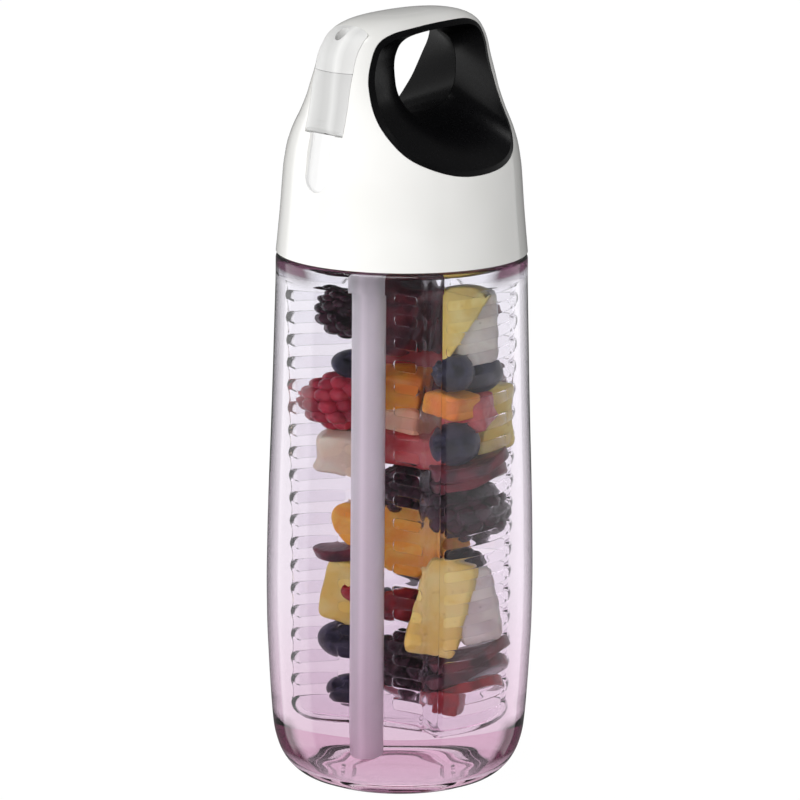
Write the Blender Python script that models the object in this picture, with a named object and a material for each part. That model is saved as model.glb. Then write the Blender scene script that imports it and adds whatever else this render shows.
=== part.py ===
"""Sports water bottle with a flip spout, a straw and a fruit infuser.

A clear barrel-shaped body carries a white screw cap whose top rises into a carrying loop.
The spout is stowed upright in one leg of the loop, and a straw and an infuser basket hang
under the cap. Lengths are in metres, +Z is up, the origin is at the centre of the foot on
the ground, the spout faces -Y and the opening of the loop runs along X.
"""

import math

import bmesh
import bpy
from mathutils import Matrix, Vector

# Fits and cuts
FIT_GAP = 0.0003
OVERRUN = 0.004
SEAM_SINK = 0.0006

# Bottle body
BELLY_RADIUS = 0.0393
SHOULDER_HEIGHT = 0.1576
BODY_WALL = 0.0022
BASE_THICKNESS = 0.006
FOOT_OUTER_RADIUS = 0.0245
FOOT_INNER_RADIUS = 0.0215
PUNT_RADIUS = 0.0184
PUNT_DEPTH = 0.0026
PUNT_RING_RADIUS = 0.0112
PUNT_RING_WIDTH = 0.0016
PUNT_RING_DROP = 0.0008
INNER_FLOOR_RADIUS = 0.0235
INNER_CORNER_HEIGHT = 0.0135
SHOULDER_ROUND = 0.0016
SHOULDER_THICKNESS = 0.003
BODY_SHARES = (
    (0.003, 0.655),
    (0.010, 0.727),
    (0.023, 0.800),
    (0.041, 0.862),
    (0.064, 0.908),
    (0.097, 0.942),
    (0.152, 0.963),
    (0.228, 0.982),
    (0.305, 0.996),
    (0.381, 1.000),
    (0.476, 0.995),
    (0.571, 0.985),
    (0.666, 0.972),
    (0.761, 0.960),
    (0.857, 0.950),
    (0.952, 0.940),
)

# Neck and screw thread
NECK_WALL = 0.0028
NECK_HEIGHT = 0.018
THREAD_PITCH = 0.006
THREAD_HEIGHT = 0.0012
THREAD_ROOT_WIDTH = 0.0024
THREAD_CREST_WIDTH = 0.001
THREAD_PLAY = 0.0004
THREAD_START_RISE = 0.006
NECK_THREAD_TURNS = 1.25
CORE_THREAD_TURNS = 1.0
THREAD_FADE_SHARE = 0.25

# Cap shell
SKIRT_SETBACK = 0.00004
SKIRT_WALL = 0.0018
CAP_HEIGHT = 0.0706
CAP_LIFT = 0.0006
CAP_TILT_SHARE = 0.02
CAP_TILT_START_SHARE = 0.59
CAP_TILT_END_SHARE = 0.94
CAVITY_DRAFT = 0.0021
CAP_SHARES = (
    (0.000, 1.000, 1.000, 2.00),
    (0.170, 0.970, 0.970, 2.00),
    (0.340, 0.946, 0.946, 2.00),
    (0.395, 0.930, 0.936, 2.00),
    (0.450, 0.898, 0.924, 2.02),
    (0.485, 0.862, 0.912, 2.05),
    (0.521, 0.818, 0.894, 2.10),
    (0.556, 0.765, 0.876, 2.15),
    (0.592, 0.705, 0.859, 2.20),
    (0.663, 0.591, 0.835, 2.35),
    (0.733, 0.499, 0.821, 2.50),
    (0.804, 0.434, 0.805, 2.50),
    (0.853, 0.404, 0.791, 2.50),
    (0.896, 0.377, 0.759, 2.50),
    (0.938, 0.347, 0.699, 2.50),
    (0.971, 0.298, 0.596, 2.40),
    (0.991, 0.222, 0.447, 2.30),
    (1.000, 0.114, 0.230, 2.20),
)

# Carrying loop and its liner
RIM_FRONT_MARGIN = 0.0112
RIM_BACK_MARGIN = 0.0142
RIM_FOOT_RISE = 0.0269
RIM_TOP_DROP = 0.0023
RIM_SHARES = (
    (-1.00, -0.13),
    (-0.97, 0.30),
    (-0.83, 0.72),
    (-0.60, 0.90),
    (-0.18, 0.97),
    (0.31, 1.00),
    (0.74, 0.98),
    (0.96, 0.86),
    (1.02, 0.62),
    (0.99, 0.30),
    (0.96, -0.13),
    (0.91, -0.50),
    (0.74, -0.77),
    (0.47, -0.92),
    (0.10, -0.99),
    (-0.28, -0.99),
    (-0.58, -0.90),
    (-0.83, -0.73),
    (-0.96, -0.47),
)
THROAT_FRONT_DEPTH = 0.0187
THROAT_BACK_DEPTH = 0.0013
THROAT_FLOOR_RISE = 0.0134
THROAT_TOP_DROP = 0.0038
THROAT_EXPONENT = 2.5
FLARE_POWER = 1.8
FLARE_POWER_FRONT = 2.4
LINER_WALL = 0.0015
FLARE_SHARES = (0.0, 0.32, 0.57, 0.76, 0.90, 1.03)

# Flip spout
PIVOT_RISE = 0.0404
HUB_RADIUS = 0.0032
HUB_INSET = 0.0001
HUB_SIDE_PLAY = 0.0001
SPOUT_CHEEK = 0.0055
SPOUT_BACK = 0.0042
SPOUT_BACK_SLOPE = math.radians(7.0)
SPOUT_BOTTOM_RISE = 0.0014
SPOUT_TIP_LENGTH = 0.0148
NIPPLE_LENGTH = 0.005
NIPPLE_RADIUS = 0.0025
SPOUT_BORE_RADIUS = 0.0018
SPOUT_BORE_TILT = math.radians(9.0)
SPOUT_OPEN_ANGLE = math.radians(70.0)
NOTCH_SPARE_ANGLE = math.radians(6.0)
PIN_RADIUS = 0.0009
PIN_HUB_DEPTH = 0.0028
PIN_WALL_DEPTH = 0.0015
THUMB_HALF_WIDTH = 0.0047
THUMB_BOTTOM_RISE = 0.0211
THUMB_DEPTH = 0.0012

# Straw, grommet and duct
STRAW_RADIUS = 0.0045
STRAW_WALL = 0.0008
STRAW_Y = -0.0105
STRAW_FOOT_CLEARANCE = 0.0025
SOCKET_WALL = 0.0022
SOCKET_DEPTH = 0.0042
GROMMET_HEIGHT = 0.0058
BOSS_WALL = 0.0013
BOSS_LIP_HEIGHT = 0.0012
BOSS_LIP_WIDTH = 0.0015
DUCT_BORE_RADIUS = 0.0019
DUCT_WALL = 0.0012
DUCT_BEND_RADIUS = 0.005
SEAT_THICKNESS = 0.0022

# Cap core, gasket and valve
CORE_WALL = 0.0014
SLEEVE_PLAY = 0.0006
DECK_THICKNESS = 0.0025
DECK_EDGE_PLAY = 0.0004
FLANGE_THICKNESS = 0.0018
FLANGE_LIFT = 0.0005
GASKET_THICKNESS = 0.0017
GASKET_OVERLAP = 0.0004
VALVE_MARGIN = 0.0062
VALVE_HEAD_RADIUS = 0.0042
VALVE_HEAD_THICKNESS = 0.0014
VALVE_STEM_RADIUS = 0.0014
VALVE_BULB_RADIUS = 0.0021
VALVE_BULB_HEIGHT = 0.0018
VALVE_POCKET_DEPTH = 0.003

# Infuser basket and its ring
BASKET_PLAY = 0.0007
BASKET_WALL = 0.0016
BASKET_FLOOR_THICKNESS = 0.002
BASKET_FOOT_CLEARANCE = 0.0105
BASKET_FOOT_SHARE = 0.927
BASKET_MOUTH_GAP = 0.0056
BASKET_LIP_Y = -0.009
BASKET_DISH = 0.004
BASKET_CORNER = 0.005
SLOT_HEIGHT = 0.003
SLOT_PITCH = 0.00675
SLOT_FIRST_RISE = 0.0083
SLOT_ROWS = 19
LIP_RIB_ANGLE = math.radians(6.3)
BACK_RIB_ANGLE = math.radians(35.0)
BACK_RIB_HALF_ANGLE = math.radians(3.0)
FRONT_SLOT_INNER_SHARE = 0.15
FRONT_SLOT_OUTER_SHARE = 0.78
SPIGOT_LENGTH = 0.0118
SPIGOT_WALL = 0.0016
RING_HEIGHT = 0.0018
RING_WALL = 0.0011
RING_DROP = 0.0078

# Facet counts
BODY_SEGMENTS = 44
CAP_SEGMENTS = 44
LOOP_SEGMENTS = 32
SMALL_SEGMENTS = 20
THREAD_SEGMENTS = 32
BASKET_ARC_SEGMENTS = 18
BASKET_FRONT_SEGMENTS = 6
SMOOTH_ANGLE = math.radians(35.0)

# Heights and radii that follow from the sizes above
SKIRT_RADIUS = BODY_SHARES[-1][1] * BELLY_RADIUS - SKIRT_SETBACK
SLEEVE_RADIUS = SKIRT_RADIUS - SKIRT_WALL - CAVITY_DRAFT - SLEEVE_PLAY
CORE_BORE = SLEEVE_RADIUS - CORE_WALL
NECK_RADIUS = CORE_BORE - THREAD_PLAY - THREAD_HEIGHT
CAP_FOOT = SHOULDER_HEIGHT + CAP_LIFT
RIM_HEIGHT = SHOULDER_HEIGHT + NECK_HEIGHT
NECK_BORE = NECK_RADIUS - NECK_WALL
GASKET_FOOT = RIM_HEIGHT + FIT_GAP
DECK_FOOT = GASKET_FOOT + GASKET_THICKNESS + FIT_GAP
DECK_TOP = DECK_FOOT + DECK_THICKNESS
CAVITY_TOP = DECK_TOP + FIT_GAP
STRAW_FOOT = BASE_THICKNESS + STRAW_FOOT_CLEARANCE
STRAW_HOLE_RADIUS = STRAW_RADIUS + FIT_GAP
SOCKET_RADIUS = STRAW_HOLE_RADIUS + SOCKET_WALL
SOCKET_FOOT = DECK_TOP
STRAW_TOP = SOCKET_FOOT + SOCKET_DEPTH
DUCT_RADIUS = DUCT_BORE_RADIUS + DUCT_WALL
GROMMET_TOP = DECK_TOP - FIT_GAP
GROMMET_FOOT = GROMMET_TOP - GROMMET_HEIGHT
BOSS_BORE = SOCKET_RADIUS + FIT_GAP
BOSS_RADIUS = BOSS_BORE + BOSS_WALL
BOSS_FOOT = GROMMET_FOOT - FIT_GAP - BOSS_LIP_HEIGHT
CRADLE_RADIUS = HUB_RADIUS + FIT_GAP
PIVOT_HEIGHT = CAP_FOOT + PIVOT_RISE
BASKET_RADIUS = NECK_BORE - BASKET_PLAY
BASKET_FOOT = BASE_THICKNESS + BASKET_FOOT_CLEARANCE
BASKET_TOP = DECK_FOOT - BASKET_MOUTH_GAP
SPIGOT_FOOT = DECK_FOOT - SPIGOT_LENGTH
RING_TOP = DECK_FOOT - RING_DROP
SPIGOT_RADIUS = BASKET_RADIUS - BASKET_WALL - FIT_GAP - SPIGOT_WALL
VALVE_Y = SPIGOT_RADIUS - VALVE_MARGIN - VALVE_HEAD_RADIUS
SPOUT_TIP_RISE = CAP_HEIGHT - PIVOT_RISE - SPOUT_TIP_LENGTH
LOOP_FRONT = RIM_FRONT_MARGIN - SKIRT_RADIUS
LOOP_BACK = SKIRT_RADIUS - RIM_BACK_MARGIN
LOOP_FOOT = CAP_FOOT + RIM_FOOT_RISE
LOOP_TOP = CAP_FOOT + CAP_HEIGHT - RIM_TOP_DROP
THROAT_FRONT = LOOP_FRONT + THROAT_FRONT_DEPTH
THROAT_BACK = LOOP_BACK - THROAT_BACK_DEPTH
THROAT_FOOT = LOOP_FOOT + THROAT_FLOOR_RISE
THROAT_TOP = LOOP_TOP - THROAT_TOP_DROP


def clear_scene() -> None:
    """Remove every object of the scene."""
    for obj in list(bpy.data.objects):
        bpy.data.objects.remove(obj, do_unlink=True)


def make_material(name: str, colour: tuple, roughness: float, metallic: float = 0.0,
                  transmission: float = 0.0):
    """Make a Principled material."""
    material = bpy.data.materials.new(name)
    material.use_nodes = True
    shader = material.node_tree.nodes["Principled BSDF"]
    shader.inputs["Base Color"].default_value = (*colour, 1.0)
    shader.inputs["Roughness"].default_value = roughness
    shader.inputs["Metallic"].default_value = metallic
    shader.inputs["Transmission Weight"].default_value = transmission
    return material


def add_object(name: str, bm, material=None):
    """Turn a bmesh into a named object with outward faces."""
    bmesh.ops.recalc_face_normals(bm, faces=bm.faces[:])
    mesh = bpy.data.meshes.new(name)
    bm.to_mesh(mesh)
    bm.free()
    mesh.shade_smooth()
    mesh.set_sharp_from_angle(angle=SMOOTH_ANGLE)
    obj = bpy.data.objects.new(name, mesh)
    bpy.context.scene.collection.objects.link(obj)
    if material is not None:
        mesh.materials.append(material)
    return obj


def hide_helper(obj):
    """Mark an object as a guide that is not a piece of the bottle."""
    obj.hide_render = True
    obj.display_type = "WIRE"
    return obj


def add_boolean(obj, other, operation: str) -> None:
    """Cut, join or trim an object with another one."""
    modifier = obj.modifiers.new(f"{operation.lower()}_{other.name}", "BOOLEAN")
    modifier.operation = operation
    modifier.solver = "EXACT"
    modifier.object = other


def hang_on(obj, carrier) -> None:
    """Move an object's origin to a carrier empty and parent it there."""
    obj.data.transform(Matrix.Translation(-carrier.location))
    obj.parent = carrier


def add_carrier(name: str, place: Vector):
    """Add an empty on a joint's axis."""
    carrier = bpy.data.objects.new(name, None)
    carrier.location = place
    bpy.context.scene.collection.objects.link(carrier)
    return carrier


def turned_mesh(profile: list, segments: int, centre_y: float = 0.0):
    """Spin a profile of (radius, height) points about a vertical axis.

    A profile that starts and ends on the axis closes there, and any other one is a loop.
    """
    bm = bmesh.new()
    verts = [bm.verts.new((radius, 0.0, height)) for radius, height in profile]
    edges = [bm.edges.new(pair) for pair in zip(verts, verts[1:])]
    on_axis = profile[0][0] == 0.0 and profile[-1][0] == 0.0
    if not on_axis:
        edges.append(bm.edges.new((verts[-1], verts[0])))
    bmesh.ops.spin(bm, geom=verts + edges, cent=(0.0, 0.0, 0.0), axis=(0.0, 0.0, 1.0),
                   dvec=(0.0, 0.0, 0.0), angle=math.tau, steps=segments, use_merge=True)
    if on_axis:
        poles = [v for v in bm.verts if v.co.x * v.co.x + v.co.y * v.co.y < 1e-14]
        bmesh.ops.remove_doubles(bm, verts=poles, dist=1e-6)
    bmesh.ops.translate(bm, verts=bm.verts[:], vec=(0.0, centre_y, 0.0))
    return bm


def loft_mesh(rings: list):
    """Skin a row of point rings and cap both ends."""
    bm = bmesh.new()
    rows = [[bm.verts.new(point) for point in ring] for ring in rings]
    for row, following in zip(rows, rows[1:]):
        for index, vert in enumerate(row):
            after = (index + 1) % len(row)
            bm.faces.new((vert, row[after], following[after], following[index]))
    bm.faces.new(rows[0])
    bm.faces.new(rows[-1])
    return bm


def prism_mesh(outline: list, half_width: float):
    """Extrude an outline of (y, z) points along X to both sides."""
    near = [Vector((half_width, y, z)) for y, z in outline]
    far = [Vector((-half_width, y, z)) for y, z in outline]
    return loft_mesh([far, near])


def rod_mesh(start: Vector, end: Vector, radius: float, segments: int = SMALL_SEGMENTS):
    """Make a round rod between two points."""
    return sweep_mesh([start, end], radius, segments)


def sweep_mesh(path: list, radius: float, segments: int = SMALL_SEGMENTS):
    """Sweep a circle along a path that stays in a plane of constant X or is straight."""
    rings = []
    for index, point in enumerate(path):
        before = path[max(index - 1, 0)]
        after = path[min(index + 1, len(path) - 1)]
        along = (after - before).normalized()
        side = Vector((1.0, 0.0, 0.0))
        if abs(along.x) > 0.9:
            side = Vector((0.0, 1.0, 0.0))
        across = along.cross(side).normalized()
        ring = []
        for step in range(segments):
            angle = math.tau * step / segments
            ring.append(point + radius * (math.cos(angle) * side + math.sin(angle) * across))
        rings.append(ring)
    return loft_mesh(rings)


def smooth_curve(points: list, at: float) -> float:
    """Read a height-preserving cubic through (position, value) points."""
    count = len(points)
    slopes = [(points[i + 1][1] - points[i][1]) / (points[i + 1][0] - points[i][0])
              for i in range(count - 1)]
    tangents = [slopes[0]]
    for before, after in zip(slopes, slopes[1:]):
        tangents.append(0.0 if before * after <= 0.0 else 2.0 * before * after / (before + after))
    tangents.append(slopes[-1])
    low = 0
    while low < count - 2 and at > points[low + 1][0]:
        low += 1
    span = points[low + 1][0] - points[low][0]
    t = min(max((at - points[low][0]) / span, 0.0), 1.0)
    start, end = points[low][1], points[low + 1][1]
    rise = (2 * t ** 3 - 3 * t ** 2 + 1) * start + (-2 * t ** 3 + 3 * t ** 2) * end
    bend = (t ** 3 - 2 * t ** 2 + t) * tangents[low] + (t ** 3 - t ** 2) * tangents[low + 1]
    return rise + bend * span


def offset_outline(outline: list, distance: float) -> list:
    """Move a closed outline of 2-D points outwards, with mitred corners."""
    count = len(outline)
    area = sum(outline[i][0] * outline[(i + 1) % count][1]
               - outline[(i + 1) % count][0] * outline[i][1] for i in range(count))
    turn = 1.0 if area > 0.0 else -1.0
    moved = []
    for index, point in enumerate(outline):
        before = Vector(point) - Vector(outline[index - 1])
        after = Vector(outline[(index + 1) % count]) - Vector(point)
        normal_before = Vector((before.y, -before.x)).normalized() * turn
        normal_after = Vector((after.y, -after.x)).normalized() * turn
        middle = (normal_before + normal_after).normalized()
        reach = distance / max(middle.dot(normal_after), 0.5)
        moved.append((point[0] + middle.x * reach, point[1] + middle.y * reach))
    return moved


def body_outer_radius(height: float) -> float:
    """Outer radius of the bottle body at a height."""
    table = [(share * SHOULDER_HEIGHT, radius * BELLY_RADIUS) for share, radius in BODY_SHARES]
    return smooth_curve(table, height)


def body_profile() -> list:
    """Closed (radius, height) section of the bottle body, from the outer neck downwards."""
    shoulder_radius = body_outer_radius(SHOULDER_HEIGHT)
    profile = [(NECK_BORE, RIM_HEIGHT), (NECK_RADIUS, RIM_HEIGHT)]
    profile.append((NECK_RADIUS, SHOULDER_HEIGHT + SEAM_SINK))
    profile.append((NECK_RADIUS + SEAM_SINK, SHOULDER_HEIGHT))
    for step in range(4):
        angle = math.pi / 2 * step / 3
        profile.append((shoulder_radius - SHOULDER_ROUND * (1.0 - math.sin(angle)),
                        SHOULDER_HEIGHT - SHOULDER_ROUND * (1.0 - math.cos(angle))))
    for share, radius_share in reversed(BODY_SHARES):
        profile.append((radius_share * BELLY_RADIUS, share * SHOULDER_HEIGHT))
    ring_outer = PUNT_RING_RADIUS + PUNT_RING_WIDTH / 2
    ring_inner = PUNT_RING_RADIUS - PUNT_RING_WIDTH / 2
    ring_height = PUNT_DEPTH - PUNT_RING_DROP
    profile += [
        (FOOT_OUTER_RADIUS, 0.0),
        (FOOT_INNER_RADIUS, 0.0),
        ((FOOT_INNER_RADIUS + PUNT_RADIUS) / 2, PUNT_DEPTH / 2),
        (PUNT_RADIUS, PUNT_DEPTH),
        (ring_outer + PUNT_RING_DROP, PUNT_DEPTH),
        (ring_outer, ring_height),
        (ring_inner, ring_height),
        (ring_inner - PUNT_RING_DROP, PUNT_DEPTH),
        (0.0, PUNT_DEPTH),
        (0.0, BASE_THICKNESS),
        (INNER_FLOOR_RADIUS, BASE_THICKNESS),
    ]
    corner_top = BASE_THICKNESS + INNER_CORNER_HEIGHT
    corner_radius = body_outer_radius(corner_top) - BODY_WALL
    for step in range(1, 6):
        angle = math.pi / 2 * step / 5
        profile.append((INNER_FLOOR_RADIUS + (corner_radius - INNER_FLOOR_RADIUS) * math.sin(angle),
                        corner_top - INNER_CORNER_HEIGHT * math.cos(angle)))
    inner_shoulder = SHOULDER_HEIGHT - SHOULDER_THICKNESS
    turn_height = inner_shoulder - SHOULDER_ROUND
    for share, radius_share in BODY_SHARES[1::2]:
        height = share * SHOULDER_HEIGHT
        if corner_top * 1.05 < height < turn_height - SHOULDER_ROUND:
            profile.append((radius_share * BELLY_RADIUS - BODY_WALL, height))
    turn_radius = body_outer_radius(turn_height) - BODY_WALL
    profile += [
        (turn_radius, turn_height - SHOULDER_ROUND),
        (turn_radius - SHOULDER_ROUND, turn_height + SHOULDER_ROUND / 2),
        (NECK_BORE + SHOULDER_ROUND, SHOULDER_HEIGHT - SHOULDER_ROUND),
        (NECK_BORE, SHOULDER_HEIGHT + SHOULDER_ROUND),
    ]
    return profile


def thread_ridge(wall_radius: float, outwards: float, start_height: float, turns: float):
    """Make a helical ridge on a wall, standing outwards (+1) or inwards (-1)."""
    steps = round(THREAD_SEGMENTS * turns)
    rings = []
    for step in range(steps + 1):
        angle = math.tau * turns * step / steps
        fade = min(1.0, min(step, steps - step) / steps / THREAD_FADE_SHARE * turns)
        height = THREAD_HEIGHT * max(fade, THREAD_FADE_SHARE)
        centre = start_height + THREAD_PITCH * angle / math.tau
        section = [
            (wall_radius - outwards * SEAM_SINK, centre - THREAD_ROOT_WIDTH / 2),
            (wall_radius + outwards * height, centre - THREAD_CREST_WIDTH / 2),
            (wall_radius + outwards * height, centre + THREAD_CREST_WIDTH / 2),
            (wall_radius - outwards * SEAM_SINK, centre + THREAD_ROOT_WIDTH / 2),
        ]
        rings.append([Vector((radius * math.cos(angle), radius * math.sin(angle), z))
                      for radius, z in section])
    return loft_mesh(rings)


def tilt_at(y: float, height: float) -> float:
    """Rise of the cap's top towards the back of the loop."""
    start = CAP_FOOT + CAP_TILT_START_SHARE * CAP_HEIGHT
    end = CAP_FOOT + CAP_TILT_END_SHARE * CAP_HEIGHT
    t = min(max((height - start) / (end - start), 0.0), 1.0)
    return CAP_TILT_SHARE * y * t * t * (3.0 - 2.0 * t)


def cap_section(height: float) -> tuple:
    """Half widths along X and Y and the exponent of the cap at an untilted height."""
    share = min(max((height - CAP_FOOT) / CAP_HEIGHT, 0.0), 1.0)
    width = smooth_curve([(row[0], row[1]) for row in CAP_SHARES], share) * SKIRT_RADIUS
    depth = smooth_curve([(row[0], row[2]) for row in CAP_SHARES], share) * SKIRT_RADIUS
    exponent = smooth_curve([(row[0], row[3]) for row in CAP_SHARES], share)
    return width, depth, exponent


def cap_half_width_at(y: float, z: float) -> float:
    """Half width along X of the cap's outer surface over a point of its side view."""
    height = z - tilt_at(y, z)
    height = z - tilt_at(y, height)
    width, depth, exponent = cap_section(height)
    left = 1.0 - min(abs(y) / depth, 1.0) ** exponent
    return width * left ** (1.0 / exponent)


def cavity_radius(height: float) -> float:
    """Radius of the hollow of the skirt, which narrows upwards."""
    share = (height - CAP_FOOT) / (CAVITY_TOP - CAP_FOOT)
    return SKIRT_RADIUS - SKIRT_WALL - CAVITY_DRAFT * share


def cap_mesh():
    """Outer solid of the cap, a stack of rounded-rectangle rings."""
    rings = []
    for share, width_share, depth_share, exponent in CAP_SHARES:
        height = CAP_FOOT + share * CAP_HEIGHT
        ring = []
        for step in range(CAP_SEGMENTS):
            angle = math.tau * step / CAP_SEGMENTS
            c, s = math.cos(angle), math.sin(angle)
            x = math.copysign(abs(c) ** (2.0 / exponent), c) * width_share * SKIRT_RADIUS
            y = math.copysign(abs(s) ** (2.0 / exponent), s) * depth_share * SKIRT_RADIUS
            ring.append(Vector((x, y, height + tilt_at(y, height))))
        rings.append(ring)
    return loft_mesh(rings)


def closed_spline(points: list, per_span: int) -> list:
    """Read a closed smooth curve through 2-D points."""
    count = len(points)
    curve = []
    for index in range(count):
        a, b, c, d = (Vector(points[(index + k) % count]) for k in (-1, 0, 1, 2))
        for step in range(per_span):
            t = step / per_span
            curve.append(0.5 * (2 * b + (c - a) * t + (2 * a - 5 * b + 4 * c - d) * t ** 2
                                + (3 * b - a - 3 * c + d) * t ** 3))
    return curve


def rim_outline() -> list:
    """Rim of the loop in side view, one (y, z) point for each loop segment."""
    centre = Vector(((LOOP_FRONT + LOOP_BACK) / 2, (LOOP_FOOT + LOOP_TOP) / 2))
    half_length = (LOOP_BACK - LOOP_FRONT) / 2
    half_height = (LOOP_TOP - LOOP_FOOT) / 2
    points = [(centre.x + y * half_length, centre.y + z * half_height)
              for y, z in RIM_SHARES]
    curve = closed_spline(points, 12)
    outline = []
    for step in range(LOOP_SEGMENTS):
        angle = math.tau * step / LOOP_SEGMENTS
        wanted = Vector((math.cos(angle) * half_length, math.sin(angle) * half_height))
        nearest = max(curve, key=lambda point: (point - centre).normalized().dot(wanted.normalized()))
        outline.append((nearest.x, nearest.y))
    return outline


def throat_outline() -> list:
    """Narrowest section of the loop's opening, in side view."""
    half_length = (THROAT_BACK - THROAT_FRONT) / 2
    half_height = (THROAT_TOP - THROAT_FOOT) / 2
    outline = []
    for step in range(LOOP_SEGMENTS):
        angle = math.tau * step / LOOP_SEGMENTS
        c, s = math.cos(angle), math.sin(angle)
        y = math.copysign(abs(c) ** (2.0 / THROAT_EXPONENT), c) * half_length
        z = math.copysign(abs(s) ** (2.0 / THROAT_EXPONENT), s) * half_height
        outline.append(((THROAT_FRONT + THROAT_BACK) / 2 + y, (THROAT_FOOT + THROAT_TOP) / 2 + z))
    return outline


def loop_half_rings(growth: float) -> list:
    """Rings of the flared opening from its throat to beyond the cap, for +X.

    The growth is measured from the face that the liner shows.
    """
    throat = offset_outline(throat_outline(), growth)
    rim = offset_outline(rim_outline(), growth - LINER_WALL)
    reach = SKIRT_RADIUS + OVERRUN
    rings = []
    for share in FLARE_SHARES:
        ring = []
        for step, (inner, outer) in enumerate(zip(throat, rim)):
            forward = max(0.0, -math.cos(math.tau * step / LOOP_SEGMENTS))
            power = FLARE_POWER + (FLARE_POWER_FRONT - FLARE_POWER) * forward
            spread = share ** power
            x = max(share, 0.0) * cap_half_width_at(*outer)
            ring.append(Vector((x, inner[0] + (outer[0] - inner[0]) * spread,
                                inner[1] + (outer[1] - inner[1]) * spread)))
        rings.append(ring)
    rings.append([Vector((reach, point.y, point.z)) for point in rings[-1]])
    return rings


def mirrored(rings: list) -> list:
    """Mirror rings through X = 0."""
    return [[Vector((-point.x, point.y, point.z)) for point in ring] for ring in rings]


def loop_mesh(growth: float):
    """Solid that fills the whole opening of the loop."""
    rings = loop_half_rings(growth)
    return loft_mesh(mirrored(rings)[:0:-1] + rings)


def liner_half_mesh(side: float):
    """Solid of one half of the liner before it is trimmed and hollowed."""
    rings = loop_half_rings(LINER_WALL)
    for point in rings[0]:
        point.x = FIT_GAP / 2
    if side < 0.0:
        rings = mirrored(rings)
    return loft_mesh(rings)


def pivot_place() -> Vector:
    """Centre of the spout's hub, just inside the front of the cap."""
    depth = cap_section(PIVOT_HEIGHT)[1]
    return Vector((0.0, HUB_RADIUS + HUB_INSET - depth, PIVOT_HEIGHT))


def spout_half_width() -> float:
    """Half width of the spout, which leaves a cheek of the cap beside its hub."""
    pivot = pivot_place()
    return cap_half_width_at(pivot.y, pivot.z) - SPOUT_CHEEK


def spout_back_y(height: float, gap: float) -> float:
    """Sloped rear face of the spout, moved back by a gap, at a height."""
    pivot = pivot_place()
    return pivot.y + SPOUT_BACK + gap + (height - pivot.z) * math.tan(SPOUT_BACK_SLOPE)


def spout_outline(bottom: float, top: float) -> list:
    """Side outline of the spout between two heights, open to the front."""
    front = -SKIRT_RADIUS - OVERRUN
    return [
        (front, bottom),
        (spout_back_y(bottom, 0.0), bottom),
        (spout_back_y(top, 0.0), top),
        (front, top),
    ]


def channel_outline() -> list:
    """Side outline of the channel that the spout lies in, with its notch below the spout."""
    pivot = pivot_place()
    front = -SKIRT_RADIUS - OVERRUN
    top = CAP_FOOT + CAP_HEIGHT + OVERRUN
    step_angle = math.atan2(HUB_RADIUS, SPOUT_BOTTOM_RISE)
    lip_angle = step_angle + SPOUT_OPEN_ANGLE + NOTCH_SPARE_ANGLE
    lip_height = pivot.z + CRADLE_RADIUS * math.cos(lip_angle)
    lip_y = pivot.y - CRADLE_RADIUS * math.sin(lip_angle)
    return [
        (front, lip_height),
        (lip_y, lip_height),
        (pivot.y, pivot.z),
        (spout_back_y(pivot.z, FIT_GAP), pivot.z),
        (spout_back_y(top, FIT_GAP), top),
        (front, top),
    ]


def bore_direction() -> Vector:
    """Direction of the spout's bore while it is stowed."""
    return Vector((0.0, math.sin(SPOUT_BORE_TILT), math.cos(SPOUT_BORE_TILT)))


def port_direction() -> Vector:
    """Direction from the hub to the duct, which the bore meets when the spout is open."""
    angle = SPOUT_OPEN_ANGLE - SPOUT_BORE_TILT
    return Vector((0.0, math.sin(angle), -math.cos(angle)))


def duct_path(hub_distance: float, foot: float) -> list:
    """Centre line of the duct from near the hub, round its bend, down to a height."""
    pivot = pivot_place()
    direction = port_direction()
    run = (STRAW_Y - pivot.y) / direction.y
    corner = pivot + direction * run
    down = Vector((0.0, 0.0, -1.0))
    turn = direction.angle(down)
    tangent = DUCT_BEND_RADIUS * math.tan(turn / 2)
    first = corner - direction * tangent
    inward = (down - direction * down.dot(direction)).normalized()
    centre = first + inward * DUCT_BEND_RADIUS
    path = [pivot + direction * hub_distance]
    for step in range(5):
        angle = turn * step / 4
        path.append(centre + DUCT_BEND_RADIUS * (math.sin(angle) * direction
                                                 - math.cos(angle) * inward))
    path.append(Vector((0.0, STRAW_Y, foot)))
    return path


def basket_outline(share: float, inset: float) -> list:
    """D-shaped section of the basket: a round back and a front dished round the straw."""
    radius = BASKET_RADIUS * share
    lip_y = BASKET_LIP_Y * share
    lip_angle = math.asin(-lip_y / radius)
    outline = []
    for step in range(BASKET_ARC_SEGMENTS + 1):
        angle = -lip_angle + (math.pi + 2.0 * lip_angle) * step / BASKET_ARC_SEGMENTS
        outline.append((radius * math.cos(angle), radius * math.sin(angle)))
    lip_x = radius * math.cos(lip_angle)
    for step in range(1, BASKET_FRONT_SEGMENTS):
        t = 2.0 * step / BASKET_FRONT_SEGMENTS - 1.0
        outline.append((lip_x * t, lip_y + BASKET_DISH * share * (1.0 - t * t)))
    return offset_outline(outline, -inset)


def basket_ring(height: float, share: float, inset: float) -> list:
    """Ring of basket points at a height."""
    return [Vector((x, y, height)) for x, y in basket_outline(share, inset)]


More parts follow.
